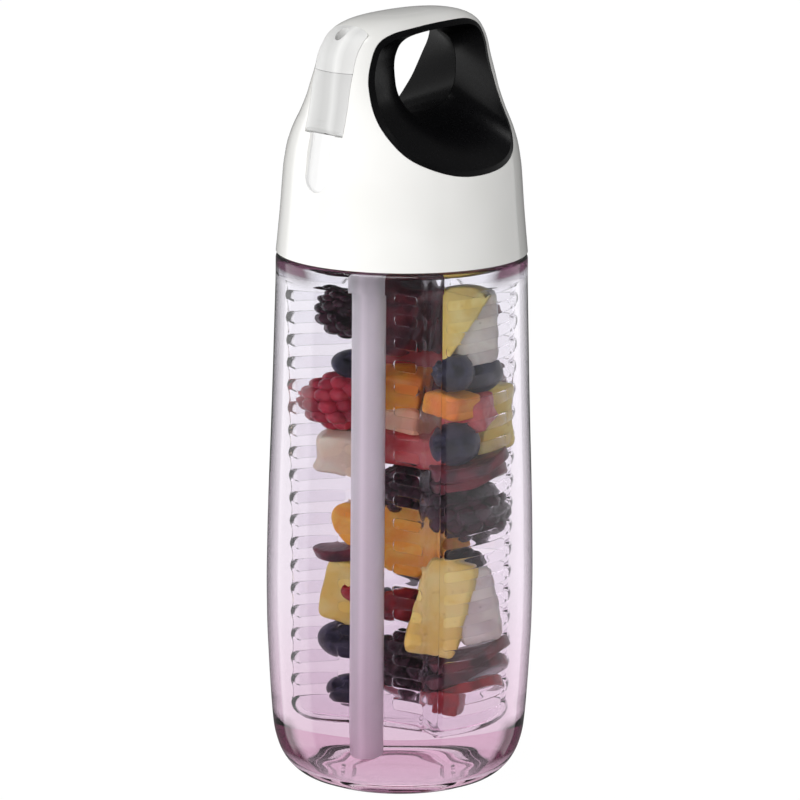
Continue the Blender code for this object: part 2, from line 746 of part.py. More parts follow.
def basket_mesh():
    """Basket with its round bottom edge and its open top, before the slots are cut."""
    straight = SPIGOT_FOOT
    inner_floor = BASKET_FOOT + BASKET_FLOOR_THICKNESS
    foot_share = BASKET_FOOT_SHARE
    rings = []
    for step in range(5):
        angle = math.pi / 2 * step / 4
        rings.append(basket_ring(BASKET_FOOT + BASKET_CORNER * (1.0 - math.cos(angle)), foot_share,
                                 BASKET_CORNER * (1.0 - math.sin(angle))))
    rings.append(basket_ring(straight, 1.0, 0.0))
    rings.append(basket_ring(BASKET_TOP, 1.0, 0.0))
    rings.append(basket_ring(BASKET_TOP, 1.0, BASKET_WALL))
    rings.append(basket_ring(straight, 1.0, BASKET_WALL))
    inner_corner = BASKET_CORNER - BASKET_WALL
    for step in range(5):
        angle = math.pi / 2 * (4 - step) / 4
        rings.append(basket_ring(inner_floor + inner_corner * (1.0 - math.cos(angle)), foot_share,
                                 BASKET_WALL + inner_corner * (1.0 - math.sin(angle))))
    return loft_mesh(rings)


def slot_cutter_mesh():
    """All level slots of the basket as separate wedges and boxes."""
    bm = bmesh.new()
    outer = BASKET_RADIUS * 1.3
    inner = BASKET_RADIUS * 0.5
    lip_x = math.sqrt(BASKET_RADIUS ** 2 - BASKET_LIP_Y ** 2)
    first = LIP_RIB_ANGLE + math.atan2(BASKET_LIP_Y, lip_x)
    near_rib = math.pi / 2 - BACK_RIB_ANGLE
    far_rib = math.pi / 2 + BACK_RIB_ANGLE
    spans = ((first, near_rib - BACK_RIB_HALF_ANGLE),
             (near_rib + BACK_RIB_HALF_ANGLE, far_rib - BACK_RIB_HALF_ANGLE),
             (far_rib + BACK_RIB_HALF_ANGLE, math.pi - first))
    front_near = FRONT_SLOT_INNER_SHARE * lip_x
    front_far = FRONT_SLOT_OUTER_SHARE * lip_x
    front_y = BASKET_LIP_Y - BASKET_WALL
    back_y = BASKET_LIP_Y + BASKET_DISH + 2.0 * BASKET_WALL
    plans = []
    for a, b in spans:
        plans.append([(inner * math.cos(a), inner * math.sin(a)),
                      (outer * math.cos(a), outer * math.sin(a)),
                      (outer * math.cos(b), outer * math.sin(b)),
                      (inner * math.cos(b), inner * math.sin(b))])
    for side in (-1.0, 1.0):
        plans.append([(side * front_near, front_y), (side * front_far, front_y),
                      (side * front_far, back_y), (side * front_near, back_y)])
    for row in range(SLOT_ROWS):
        bottom = BASKET_FOOT + SLOT_FIRST_RISE + SLOT_PITCH * row - SLOT_HEIGHT / 2
        for plan in plans:
            face = bm.faces.new([bm.verts.new((x, y, bottom)) for x, y in plan])
            raised = bmesh.ops.extrude_face_region(bm, geom=[face])["geom"]
            bmesh.ops.translate(bm, verts=[v for v in raised if isinstance(v, bmesh.types.BMVert)],
                                vec=(0.0, 0.0, SLOT_HEIGHT))
    return bm


def band_mesh(bottom: float, top: float, outer_inset: float, wall: float):
    """Upright band that follows the basket's section, as a closed ring."""
    outer_low = basket_ring(bottom, 1.0, outer_inset)
    outer_high = basket_ring(top, 1.0, outer_inset)
    inner_low = basket_ring(bottom, 1.0, outer_inset + wall)
    inner_high = basket_ring(top, 1.0, outer_inset + wall)
    bm = bmesh.new()
    rows = [[bm.verts.new(point) for point in ring]
            for ring in (outer_low, outer_high, inner_high, inner_low)]
    for index, row in enumerate(rows):
        following = rows[(index + 1) % len(rows)]
        for step in range(len(row)):
            after = (step + 1) % len(row)
            bm.faces.new((row[step], row[after], following[after], following[step]))
    return bm


def build_bottle_body(material):
    """Clear body with its foot, shoulder, neck and screw thread."""
    body = add_object("bottle_body", turned_mesh(body_profile(), BODY_SEGMENTS), material)
    ridge = hide_helper(add_object("neck_thread_guide", thread_ridge(
        NECK_RADIUS, 1.0, SHOULDER_HEIGHT + THREAD_START_RISE, NECK_THREAD_TURNS)))
    add_boolean(body, ridge, "UNION")


def build_gasket(material):
    """Soft ring between the rim of the neck and the deck of the cap core."""
    inner = NECK_BORE - GASKET_OVERLAP
    outer = NECK_RADIUS + GASKET_OVERLAP
    top = GASKET_FOOT + GASKET_THICKNESS
    profile = [(inner, GASKET_FOOT), (inner, top), (outer, top), (outer, GASKET_FOOT)]
    add_object("lid_gasket", turned_mesh(profile, BODY_SEGMENTS), material)


def build_core(material):
    """Threaded sleeve with a deck, a spigot for the basket and a boss for the straw."""
    foot = CAP_FOOT + FLANGE_LIFT
    flange_radius = cavity_radius(foot + FLANGE_THICKNESS) - FIT_GAP
    deck_radius = cavity_radius(DECK_TOP) - DECK_EDGE_PLAY
    profile = [
        (0.0, DECK_TOP),
        (deck_radius, DECK_TOP),
        (deck_radius, DECK_FOOT),
        (SLEEVE_RADIUS, DECK_FOOT - CORE_WALL),
        (SLEEVE_RADIUS, foot + FLANGE_THICKNESS),
        (flange_radius, foot + FLANGE_THICKNESS),
        (flange_radius, foot),
        (CORE_BORE, foot),
        (CORE_BORE, DECK_FOOT),
        (0.0, DECK_FOOT),
    ]
    core = add_object("lid_core", turned_mesh(profile, BODY_SEGMENTS), material)
    drop = THREAD_CREST_WIDTH + 2.0 * THREAD_PLAY
    ridge = hide_helper(add_object("core_thread_guide", thread_ridge(
        CORE_BORE, -1.0, SHOULDER_HEIGHT + THREAD_START_RISE - drop, CORE_THREAD_TURNS)))
    add_boolean(core, ridge, "UNION")
    spigot_inset = BASKET_WALL + FIT_GAP
    spigot = hide_helper(add_object("spigot_guide", band_mesh(
        SPIGOT_FOOT, DECK_FOOT + SEAM_SINK, spigot_inset, SPIGOT_WALL)))
    groove = hide_helper(add_object("ring_groove_guide", band_mesh(
        RING_TOP - RING_HEIGHT - FIT_GAP, RING_TOP + FIT_GAP, 0.0,
        spigot_inset + RING_WALL)))
    add_boolean(spigot, groove, "DIFFERENCE")
    add_boolean(core, spigot, "UNION")
    boss = hide_helper(add_object("boss_guide", turned_mesh(
        [(0.0, BOSS_FOOT), (BOSS_RADIUS, BOSS_FOOT), (BOSS_RADIUS, DECK_FOOT + SEAM_SINK),
         (0.0, DECK_FOOT + SEAM_SINK)], SMALL_SEGMENTS, STRAW_Y)))
    add_boolean(core, boss, "UNION")
    lip_top = BOSS_FOOT + BOSS_LIP_HEIGHT
    lip_radius = BOSS_BORE - BOSS_LIP_WIDTH
    bore = hide_helper(add_object("boss_bore_guide", turned_mesh(
        [(0.0, BOSS_FOOT - OVERRUN), (lip_radius, BOSS_FOOT - OVERRUN), (lip_radius, lip_top),
         (BOSS_BORE, lip_top), (BOSS_BORE, DECK_TOP + OVERRUN), (0.0, DECK_TOP + OVERRUN)],
        SMALL_SEGMENTS, STRAW_Y)))
    add_boolean(core, bore, "DIFFERENCE")
    vent_radius = VALVE_STEM_RADIUS + FIT_GAP
    vent = hide_helper(add_object("vent_hole_guide", rod_mesh(
        Vector((0.0, VALVE_Y, DECK_FOOT - OVERRUN)), Vector((0.0, VALVE_Y, DECK_TOP + OVERRUN)),
        vent_radius)))
    add_boolean(core, vent, "DIFFERENCE")
    return core


def build_valve(material):
    """Soft mushroom valve that hangs in the deck and lets air in."""
    head_top = DECK_FOOT - FIT_GAP
    head_foot = head_top - VALVE_HEAD_THICKNESS
    bulb_foot = DECK_TOP + FIT_GAP
    profile = [
        (0.0, head_foot),
        (VALVE_HEAD_RADIUS * 0.8, head_foot),
        (VALVE_HEAD_RADIUS, head_top),
        (VALVE_STEM_RADIUS, head_top),
        (VALVE_STEM_RADIUS, bulb_foot),
        (VALVE_BULB_RADIUS, bulb_foot),
        (VALVE_STEM_RADIUS, bulb_foot + VALVE_BULB_HEIGHT),
        (0.0, bulb_foot + VALVE_BULB_HEIGHT),
    ]
    return add_object("vent_valve", turned_mesh(profile, SMALL_SEGMENTS, VALVE_Y), material)


def build_shell(material):
    """White cap: skirt, carrying loop, spout channel, duct and thumb groove."""
    shell = add_object("lid_shell", cap_mesh(), material)
    below = CAP_FOOT - OVERRUN
    cavity = hide_helper(add_object("cavity_guide", turned_mesh(
        [(0.0, below), (cavity_radius(below), below),
         (cavity_radius(CAVITY_TOP), CAVITY_TOP), (0.0, CAVITY_TOP)], BODY_SEGMENTS)))
    add_boolean(shell, cavity, "DIFFERENCE")
    opening = hide_helper(add_object("loop_guide", loop_mesh(LINER_WALL + FIT_GAP)))
    add_boolean(shell, opening, "DIFFERENCE")
    pivot = pivot_place()
    channel = hide_helper(add_object("channel_guide", prism_mesh(
        channel_outline(), spout_half_width() + FIT_GAP)))
    add_boolean(shell, channel, "DIFFERENCE")
    hub_reach = Vector((spout_half_width() + FIT_GAP + HUB_SIDE_PLAY, 0.0, 0.0))
    cradle = hide_helper(add_object("cradle_guide", rod_mesh(
        pivot - hub_reach, pivot + hub_reach, CRADLE_RADIUS)))
    add_boolean(shell, cradle, "DIFFERENCE")
    pin_reach = Vector((spout_half_width() + FIT_GAP + PIN_WALL_DEPTH + FIT_GAP, 0.0, 0.0))
    pin_hole = hide_helper(add_object("pin_hole_guide", rod_mesh(
        pivot - pin_reach, pivot + pin_reach, PIN_RADIUS + FIT_GAP)))
    add_boolean(shell, pin_hole, "DIFFERENCE")
    duct = hide_helper(add_object("duct_guide", sweep_mesh(
        duct_path(0.0, STRAW_TOP), DUCT_RADIUS + FIT_GAP)))
    add_boolean(shell, duct, "DIFFERENCE")
    socket = hide_helper(add_object("socket_guide", rod_mesh(
        Vector((0.0, STRAW_Y, CAVITY_TOP - OVERRUN)),
        Vector((0.0, STRAW_Y, STRAW_TOP + SOCKET_WALL + FIT_GAP)), SOCKET_RADIUS + FIT_GAP)))
    add_boolean(shell, socket, "DIFFERENCE")
    pocket = hide_helper(add_object("valve_pocket_guide", rod_mesh(
        Vector((0.0, VALVE_Y, CAVITY_TOP - OVERRUN)),
        Vector((0.0, VALVE_Y, CAVITY_TOP + VALVE_POCKET_DEPTH)), VALVE_HEAD_RADIUS)))
    add_boolean(shell, pocket, "DIFFERENCE")
    add_boolean(shell, build_thumb_guide(), "DIFFERENCE")
    return shell, channel


def build_thumb_guide():
    """Cutter for the thumb groove, leaning with the front of the cap."""
    low = CAP_FOOT + THUMB_BOTTOM_RISE
    high = PIVOT_HEIGHT
    front_low = -cap_section(low)[1]
    front_high = -cap_section(high)[1]
    lean = math.atan2(front_high - front_low, high - low)
    length = math.hypot(front_high - front_low, high - low)
    outline = [(THUMB_HALF_WIDTH, length), (-THUMB_HALF_WIDTH, length)]
    for step in range(13):
        angle = math.pi + math.pi * step / 12
        outline.append((THUMB_HALF_WIDTH * math.cos(angle),
                        THUMB_HALF_WIDTH * (1.0 + math.sin(angle))))
    back = [Vector((x, THUMB_DEPTH, z)) for x, z in outline]
    front = [Vector((x, -OVERRUN, z)) for x, z in outline]
    guide = hide_helper(add_object("thumb_guide", loft_mesh([front, back])))
    guide.location = (0.0, front_low, low)
    guide.rotation_euler = (-lean, 0.0, 0.0)
    return guide


def build_liner(name: str, side: float, trim, material):
    """One half of the dark liner of the loop, flush with the cap."""
    half = add_object(name, liner_half_mesh(side), material)
    add_boolean(half, trim, "INTERSECT")
    add_boolean(half, bpy.data.objects["liner_opening_guide"], "DIFFERENCE")
    return half


def build_spout(trim, carrier, body_material, tip_material) -> None:
    """Spout body with its hub and nipple, and the soft tip over the nipple."""
    pivot = pivot_place()
    direction = bore_direction()
    bottom = pivot.z + SPOUT_BOTTOM_RISE
    step_height = pivot.z + SPOUT_TIP_RISE
    top = CAP_FOOT + CAP_HEIGHT + OVERRUN
    body = add_object("spout_body", prism_mesh(spout_outline(bottom, step_height),
                                               spout_half_width()), body_material)
    across = Vector((spout_half_width(), 0.0, 0.0))
    hub = hide_helper(add_object("hub_guide", rod_mesh(pivot - across, pivot + across, HUB_RADIUS)))
    add_boolean(body, hub, "UNION")
    add_boolean(body, trim, "INTERSECT")
    to_step = SPOUT_TIP_RISE / direction.z
    nipple = hide_helper(add_object("nipple_guide", rod_mesh(
        pivot + direction * (to_step - NIPPLE_LENGTH / 2),
        pivot + direction * (to_step + NIPPLE_LENGTH), NIPPLE_RADIUS)))
    add_boolean(body, nipple, "UNION")
    bore = hide_helper(add_object("bore_guide", rod_mesh(
        pivot - direction * (HUB_RADIUS + OVERRUN),
        pivot + direction * (top - pivot.z + OVERRUN), SPOUT_BORE_RADIUS)))
    add_boolean(body, bore, "DIFFERENCE")
    for side, label in ((1.0, "left"), (-1.0, "right")):
        inner = Vector((side * (spout_half_width() - PIN_HUB_DEPTH - FIT_GAP), 0.0, 0.0))
        outer = Vector((side * (spout_half_width() + OVERRUN), 0.0, 0.0))
        hole = hide_helper(add_object(f"hub_hole_{label}_guide", rod_mesh(
            pivot + inner, pivot + outer, PIN_RADIUS + FIT_GAP)))
        add_boolean(body, hole, "DIFFERENCE")
    tip = add_object("spout_tip", prism_mesh(spout_outline(step_height + FIT_GAP, top),
                                             spout_half_width()), tip_material)
    add_boolean(tip, trim, "INTERSECT")
    seat = hide_helper(add_object("nipple_seat_guide", rod_mesh(
        pivot + direction * (to_step - NIPPLE_LENGTH),
        pivot + direction * (to_step + NIPPLE_LENGTH + FIT_GAP), NIPPLE_RADIUS + FIT_GAP)))
    add_boolean(tip, seat, "DIFFERENCE")
    add_boolean(tip, bore, "DIFFERENCE")
    hang_on(body, carrier)
    hang_on(tip, carrier)


def build_pins(material) -> None:
    """Stub pins that carry the spout in the walls of its channel."""
    pivot = pivot_place()
    for side, label in ((1.0, "left"), (-1.0, "right")):
        inner = Vector((side * (spout_half_width() - PIN_HUB_DEPTH), 0.0, 0.0))
        outer = Vector((side * (spout_half_width() + FIT_GAP + PIN_WALL_DEPTH), 0.0, 0.0))
        add_object(f"hinge_pin_{label}", rod_mesh(pivot + inner, pivot + outer, PIN_RADIUS),
                   material)


def build_duct(material):
    """Rigid duct from the straw's socket up to the seat behind the hub."""
    start = CRADLE_RADIUS + SEAT_THICKNESS + FIT_GAP
    duct = add_object("flow_elbow", sweep_mesh(duct_path(start, STRAW_TOP), DUCT_RADIUS), material)
    socket_top = STRAW_TOP + SOCKET_WALL
    socket = hide_helper(add_object("elbow_socket_guide", rod_mesh(
        Vector((0.0, STRAW_Y, SOCKET_FOOT)), Vector((0.0, STRAW_Y, socket_top)), SOCKET_RADIUS)))
    add_boolean(duct, socket, "UNION")
    bore = hide_helper(add_object("elbow_bore_guide", sweep_mesh(
        duct_path(HUB_RADIUS, STRAW_TOP - SEAM_SINK), DUCT_BORE_RADIUS)))
    add_boolean(duct, bore, "DIFFERENCE")
    straw_hole = hide_helper(add_object("straw_hole_guide", rod_mesh(
        Vector((0.0, STRAW_Y, SOCKET_FOOT - OVERRUN)),
        Vector((0.0, STRAW_Y, STRAW_TOP + FIT_GAP)), STRAW_HOLE_RADIUS)))
    add_boolean(duct, straw_hole, "DIFFERENCE")
    return duct


def build_seat(channel, material):
    """Soft seat between the duct and the hub, hollowed to the hub's curve."""
    pivot = pivot_place()
    direction = port_direction()
    end = pivot + direction * (CRADLE_RADIUS + SEAT_THICKNESS)
    seat = add_object("spout_seat", rod_mesh(pivot, end, DUCT_RADIUS),
                      material)
    across = Vector((spout_half_width(), 0.0, 0.0))
    hub = hide_helper(add_object("seat_hub_guide", rod_mesh(
        pivot - across, pivot + across, CRADLE_RADIUS)))
    add_boolean(seat, hub, "DIFFERENCE")
    add_boolean(seat, channel, "DIFFERENCE")
    bore = hide_helper(add_object("seat_bore_guide", rod_mesh(
        pivot, end + direction * OVERRUN, DUCT_BORE_RADIUS)))
    add_boolean(seat, bore, "DIFFERENCE")
    return seat


def build_straw(material):
    """Plain round straw from near the floor up into its socket."""
    bore = STRAW_RADIUS - STRAW_WALL
    profile = [(bore, STRAW_FOOT), (bore, STRAW_TOP), (STRAW_RADIUS, STRAW_TOP),
               (STRAW_RADIUS, STRAW_FOOT)]
    return add_object("straw", turned_mesh(profile, SMALL_SEGMENTS, STRAW_Y), material)


def build_grommet(material):
    """Soft sleeve that grips the straw in the boss of the cap core."""
    outer = BOSS_BORE - FIT_GAP
    profile = [(STRAW_HOLE_RADIUS, GROMMET_FOOT), (STRAW_HOLE_RADIUS, GROMMET_TOP),
               (outer, GROMMET_TOP), (outer, GROMMET_FOOT)]
    return add_object("straw_grommet", turned_mesh(profile, SMALL_SEGMENTS, STRAW_Y), material)


def build_basket(basket_material, ring_material):
    """Slotted basket, and the soft ring on the spigot that it is pushed over."""
    basket = add_object("infuser_basket", basket_mesh(), basket_material)
    slots = hide_helper(add_object("slot_guide", slot_cutter_mesh()))
    add_boolean(basket, slots, "DIFFERENCE")
    ring_inset = BASKET_WALL + FIT_GAP
    ring = add_object("infuser_ring", band_mesh(
        RING_TOP - RING_HEIGHT, RING_TOP, ring_inset, RING_WALL - FIT_GAP), ring_material)
    return basket, ring


def build() -> None:
    """Build every piece of the bottle."""
    clear_scene()
    clear_plastic = make_material("clear_plastic", (0.92, 0.94, 0.95), 0.05, transmission=1.0)
    white_plastic = make_material("white_plastic", (0.86, 0.86, 0.84), 0.25)
    black_plastic = make_material("black_plastic", (0.012, 0.012, 0.013), 0.35)
    frosted_plastic = make_material("frosted_plastic", (0.86, 0.87, 0.88), 0.45, transmission=0.6)
    soft_tip = make_material("soft_tip", (0.83, 0.83, 0.81), 0.5, transmission=0.2)
    soft_seal = make_material("soft_seal", (0.78, 0.79, 0.80), 0.6)
    pin_steel = make_material("pin_steel", (0.62, 0.62, 0.63), 0.3, 1.0)
    lid_axis = add_carrier("lid_axis", Vector((0.0, 0.0, CAP_FOOT)))
    spout_axis = add_carrier("spout_axis", pivot_place())
    infuser_axis = add_carrier("infuser_axis", Vector((0.0, 0.0, BASKET_TOP)))
    build_bottle_body(clear_plastic)
    build_gasket(soft_seal)
    trim = hide_helper(add_object("cap_trim_guide", cap_mesh()))
    hide_helper(add_object("liner_opening_guide", loop_mesh(0.0)))
    hang_on(build_core(white_plastic), lid_axis)
    shell, channel = build_shell(white_plastic)
    hang_on(shell, lid_axis)
    hang_on(build_liner("loop_liner_near", 1.0, trim, black_plastic), lid_axis)
    hang_on(build_liner("loop_liner_far", -1.0, trim, black_plastic), lid_axis)
    hang_on(build_duct(frosted_plastic), lid_axis)
    hang_on(build_seat(channel, soft_seal), lid_axis)
    hang_on(build_straw(frosted_plastic), lid_axis)
    hang_on(build_grommet(soft_seal), lid_axis)
    hang_on(build_valve(soft_seal), lid_axis)
    build_spout(trim, spout_axis, frosted_plastic, soft_tip)
    build_pins(pin_steel)
    basket, ring = build_basket(clear_plastic, soft_seal)
    hang_on(basket, infuser_axis)
    hang_on(ring, lid_axis)


build()
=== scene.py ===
"""Sports water bottle with its contents: fine shapes, finishes, light and camera."""
import logging
import math
from collections.abc import Callable, Iterable
from dataclasses import dataclass, field
from enum import Enum

import bmesh
import bpy
from mathutils import Matrix, Vector, noise


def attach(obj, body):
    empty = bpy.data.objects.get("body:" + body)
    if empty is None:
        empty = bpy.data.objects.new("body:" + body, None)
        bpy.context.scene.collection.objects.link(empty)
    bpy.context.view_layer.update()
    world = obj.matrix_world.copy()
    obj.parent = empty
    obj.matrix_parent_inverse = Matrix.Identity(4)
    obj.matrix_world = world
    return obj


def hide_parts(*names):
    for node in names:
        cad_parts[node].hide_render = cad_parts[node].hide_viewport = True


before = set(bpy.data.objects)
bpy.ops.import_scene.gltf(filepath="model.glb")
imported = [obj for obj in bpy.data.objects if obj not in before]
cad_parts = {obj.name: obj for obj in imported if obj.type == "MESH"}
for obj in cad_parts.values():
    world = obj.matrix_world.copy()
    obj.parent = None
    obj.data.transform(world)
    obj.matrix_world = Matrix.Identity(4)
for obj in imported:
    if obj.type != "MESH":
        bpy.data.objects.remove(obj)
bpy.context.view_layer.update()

LOG = logging.getLogger("bottle")
MM = 0.001
OVERRUN = 4.0 * MM
FINE_GAP = 0.1 * MM
SMOOTH_ANGLE = math.radians(32.0)
BODY_SMOOTH_ANGLE = math.radians(40.0)
COPY_SMOOTH_ANGLE = math.radians(45.0)
TUBE_SMOOTH_ANGLE = math.radians(50.0)
WHITE = (1.0, 1.0, 1.0)
BLACK = (0.0, 0.0, 0.0)


class Body(Enum):
    """Moving bodies of the model."""

    BOTTLE = "bottle"
    SEAL = "seal"
    LID = "lid"
    SPOUT = "spout"
    INFUSER = "infuser"


class Slot(Enum):
    """Material slots of the pieces that stand for CAD nodes."""

    CLEAR_BODY = "clear_body"
    CLEAR_BASKET = "clear_basket"
    WHITE_CAP = "white_cap"
    BLACK_LINER = "black_liner"
    FROSTED_SPOUT = "frosted_spout"
    FROSTED_STRAW = "frosted_straw"
    SOFT_TIP = "soft_tip"
    SOFT_SEAL = "soft_seal"


class Cut(Enum):
    """How one solid changes another."""

    REMOVE = "DIFFERENCE"
    KEEP_INSIDE = "INTERSECT"
    JOIN = "UNION"


# Shader building


class Tree:
    """Short calls for filling one node tree."""

    def __init__(self, tree: bpy.types.NodeTree) -> None:
        self.tree = tree

    def feed(self, node: bpy.types.Node, inputs: dict) -> None:
        """Give inputs of a node their values, or the sockets that feed them."""
        for name, value in inputs.items():
            if isinstance(value, bpy.types.NodeSocket):
                self.tree.links.new(value, node.inputs[name])
            else:
                node.inputs[name].default_value = value

    def node(self, kind: str, inputs: dict | None = None, **settings) -> bpy.types.Node:
        """Add a node.

        Args:
            kind: Blender's name of the node type.
            inputs: A value, or the socket that feeds it, for each input.
            settings: Properties of the node itself.

        Returns:
            The new node.
        """
        node = self.tree.nodes.new(kind)
        for name, value in settings.items():
            setattr(node, name, value)
        self.feed(node, inputs or {})
        return node

    def place(self) -> bpy.types.NodeSocket:
        """Return the object's own coordinates."""
        return self.node("ShaderNodeTexCoord").outputs["Object"]

    def axis(self, vector: bpy.types.NodeSocket, name: str) -> bpy.types.NodeSocket:
        """Return one axis of a vector."""
        return self.node("ShaderNodeSeparateXYZ", {"Vector": vector}).outputs[name]

    def dot(self, way: bpy.types.NodeSocket, along: Vector) -> bpy.types.NodeSocket:
        """Return how far a direction goes along another."""
        return self.node("ShaderNodeVectorMath", {0: way, 1: along},
                         operation="DOT_PRODUCT").outputs["Value"]

    def math(self, operation: str, *values: bpy.types.NodeSocket | float) -> bpy.types.NodeSocket:
        """Combine values and return the result."""
        return self.node("ShaderNodeMath", dict(enumerate(values)),
                         operation=operation).outputs[0]

    def mix(self, share: bpy.types.NodeSocket | float, first: bpy.types.NodeSocket | float,
            second: bpy.types.NodeSocket | float) -> bpy.types.NodeSocket:
        """Mix two values and return the result."""
        return self.node("ShaderNodeMix", {0: share, 2: first, 3: second},
                         data_type="FLOAT").outputs[0]

    def blend(self, share: bpy.types.NodeSocket | float, first: bpy.types.NodeSocket,
              second: bpy.types.NodeSocket | tuple, how: str = "MIX") -> bpy.types.NodeSocket:
        """Blend two colours and return the result."""
        return self.node("ShaderNodeMix", {0: share, 6: first, 7: second}, data_type="RGBA",
                         blend_type=how).outputs[2]

    def ramp(self, factor: bpy.types.NodeSocket, stops: Iterable[tuple]) -> bpy.types.NodeSocket:
        """Add a colour ramp through (position, colour) stops and return its colour."""
        node = self.node("ShaderNodeValToRGB", {"Fac": factor})
        stops = list(stops)
        elements = node.color_ramp.elements
        while len(elements) < len(stops):
            elements.new(0.5)
        for element, (position, colour) in zip(elements, stops):
            element.position = position
            element.color = (*colour, 1.0)
        return node.outputs["Color"]

    def range(self, value: bpy.types.NodeSocket, source: tuple, target: tuple,
              smooth: bool = False) -> bpy.types.NodeSocket:
        """Map a value from one range to another and return the result."""
        node = self.node("ShaderNodeMapRange", {
            0: value, 1: source[0], 2: source[1], 3: target[0], 4: target[1]},
            interpolation_type="SMOOTHSTEP" if smooth else "LINEAR")
        return node.outputs["Result"]


def new_group(name: str, inputs: dict, outputs: dict) -> tuple:
    """Make a node group.

    Args:
        name: Name of the group.
        inputs: Socket type and default of each input.
        outputs: Socket type of each output.

    Returns:
        The group, its tree helper, its input node and its output node.
    """
    group = bpy.data.node_groups.new(name, "ShaderNodeTree")
    for label, (kind, default) in inputs.items():
        socket = group.interface.new_socket(label, in_out="INPUT", socket_type=kind)
        if default is not None:
            socket.default_value = default
    for label, kind in outputs.items():
        group.interface.new_socket(label, in_out="OUTPUT", socket_type=kind)
    tree = Tree(group)
    return group, tree, tree.node("NodeGroupInput"), tree.node("NodeGroupOutput")


class Effects:
    """Node groups that several materials share."""

    def __init__(self) -> None:
        self.skin = self._moulded_skin()
        self.flesh = self._fruit_flesh()

    @staticmethod
    def _moulded_skin() -> bpy.types.NodeTree:
        """Fine waviness and grain of moulded plastic, with a slow drift of its shade."""
        group, tree, source, sink = new_group(
            "Moulded Skin",
            {"Grain Size": ("NodeSocketFloat", 900.0), "Wave Size": ("NodeSocketFloat", 60.0)},
            {"Height": "NodeSocketFloat", "Grain": "NodeSocketFloat", "Drift": "NodeSocketFloat"})
        place = tree.place()
        grain, wave = (tree.node("ShaderNodeTexNoise", {
            "Vector": place, "Scale": source.outputs[size], "Detail": detail}).outputs["Fac"]
            for size, detail in (("Grain Size", 3.0), ("Wave Size", 1.0)))
        tree.feed(sink, {"Height": tree.math("MULTIPLY_ADD", grain, 0.25, wave),
                         "Grain": grain, "Drift": wave})
        return group

    @staticmethod
    def _fruit_flesh() -> bpy.types.NodeTree:
        """Mottled flesh between two colours, with small cells and specks."""
        group, tree, source, sink = new_group(
            "Fruit Flesh",
            {"Colour": ("NodeSocketColor", (0.8, 0.2, 0.1, 1.0)),
             "Second Colour": ("NodeSocketColor", (0.9, 0.6, 0.2, 1.0)),
             "Speck Colour": ("NodeSocketColor", (0.1, 0.05, 0.02, 1.0)),
             "Mottle Size": ("NodeSocketFloat", 160.0),
             "Cell Size": ("NodeSocketFloat", 700.0),
             "Specks": ("NodeSocketFloat", 0.1)},
            {"Colour": "NodeSocketColor", "Height": "NodeSocketFloat"})
        place = tree.place()
        mottle = tree.node("ShaderNodeTexNoise", {
            "Vector": place, "Scale": source.outputs["Mottle Size"], "Detail": 4.0,
            "Distortion": 0.6})
        cells = tree.node("ShaderNodeTexVoronoi", {
            "Vector": place, "Scale": source.outputs["Cell Size"]})
        spread = tree.range(mottle.outputs["Fac"], (0.38, 0.62), (0.0, 1.0), smooth=True)
        mixed = tree.blend(spread, source.outputs["Colour"], source.outputs["Second Colour"])
        near = tree.range(cells.outputs["Distance"], (0.02, 0.2), (1.0, 0.0))
        amount = tree.math("MULTIPLY", near, source.outputs["Specks"])
        tree.feed(sink, {"Colour": tree.blend(amount, mixed, source.outputs["Speck Colour"]),
                         "Height": cells.outputs["Distance"]})
        return group


@dataclass(frozen=True)
class Finish:
    """What every finish has."""

    name: str

    def start(self) -> tuple:
        """Make an empty material with its Principled shader."""
        material = bpy.data.materials.new(self.name)
        material.use_nodes = True
        material.node_tree.nodes.clear()
        tree = Tree(material.node_tree)
        shader = tree.node("ShaderNodeBsdfPrincipled")
        tree.node("ShaderNodeOutputMaterial", {"Surface": shader.outputs["BSDF"]})
        return material, tree, shader

    def skin(self, tree: Tree, effects: Effects, grain: float, wave: float) -> bpy.types.Node:
        """Add the shared moulded skin to a material."""
        return tree.node("ShaderNodeGroup", {"Grain Size": grain, "Wave Size": wave},
                         node_tree=effects.skin)

    @staticmethod
    def bump(tree: Tree, shader: bpy.types.Node, height: bpy.types.NodeSocket, strength: float,
             distance: float) -> None:
        """Feed a height to the shader's normal."""
        bump = tree.node("ShaderNodeBump", {
            "Height": height, "Strength": strength, "Distance": distance})
        tree.feed(shader, {"Normal": bump.outputs["Normal"]})


@dataclass(frozen=True)
class PlasticFinish(Finish):
    """Opaque moulded plastic or rubber."""

    colour: tuple[float, float, float]
    deep_colour: tuple[float, float, float]
    roughness: tuple[float, float] = (0.2, 0.28)
    grain: float = 900.0
    wave: float = 60.0
    bump_strength: float = 0.05
    coat: float = 0.0
    scatter: float = 0.0
    metallic: float = 0.0
    specular: float = 0.5

    def material(self, effects: Effects) -> bpy.types.Material:
        """Build the material."""
        material, tree, shader = self.start()
        skin = self.skin(tree, effects, self.grain, self.wave)
        colour = tree.ramp(skin.outputs["Drift"], [(0.3, self.deep_colour), (0.7, self.colour)])
        rough = tree.range(skin.outputs["Grain"], (0.3, 0.7), self.roughness)
        tree.feed(shader, {
            "Base Color": colour, "Roughness": rough, "Metallic": self.metallic,
            "Specular IOR Level": self.specular, "Coat Weight": self.coat, "Coat Roughness": 0.06,
            "Subsurface Weight": self.scatter, "Subsurface Radius": (1.0, 0.95, 0.9),
            "Subsurface Scale": 1.5 * MM})
        self.bump(tree, shader, skin.outputs["Height"], self.bump_strength, 0.1 * MM)
        return material


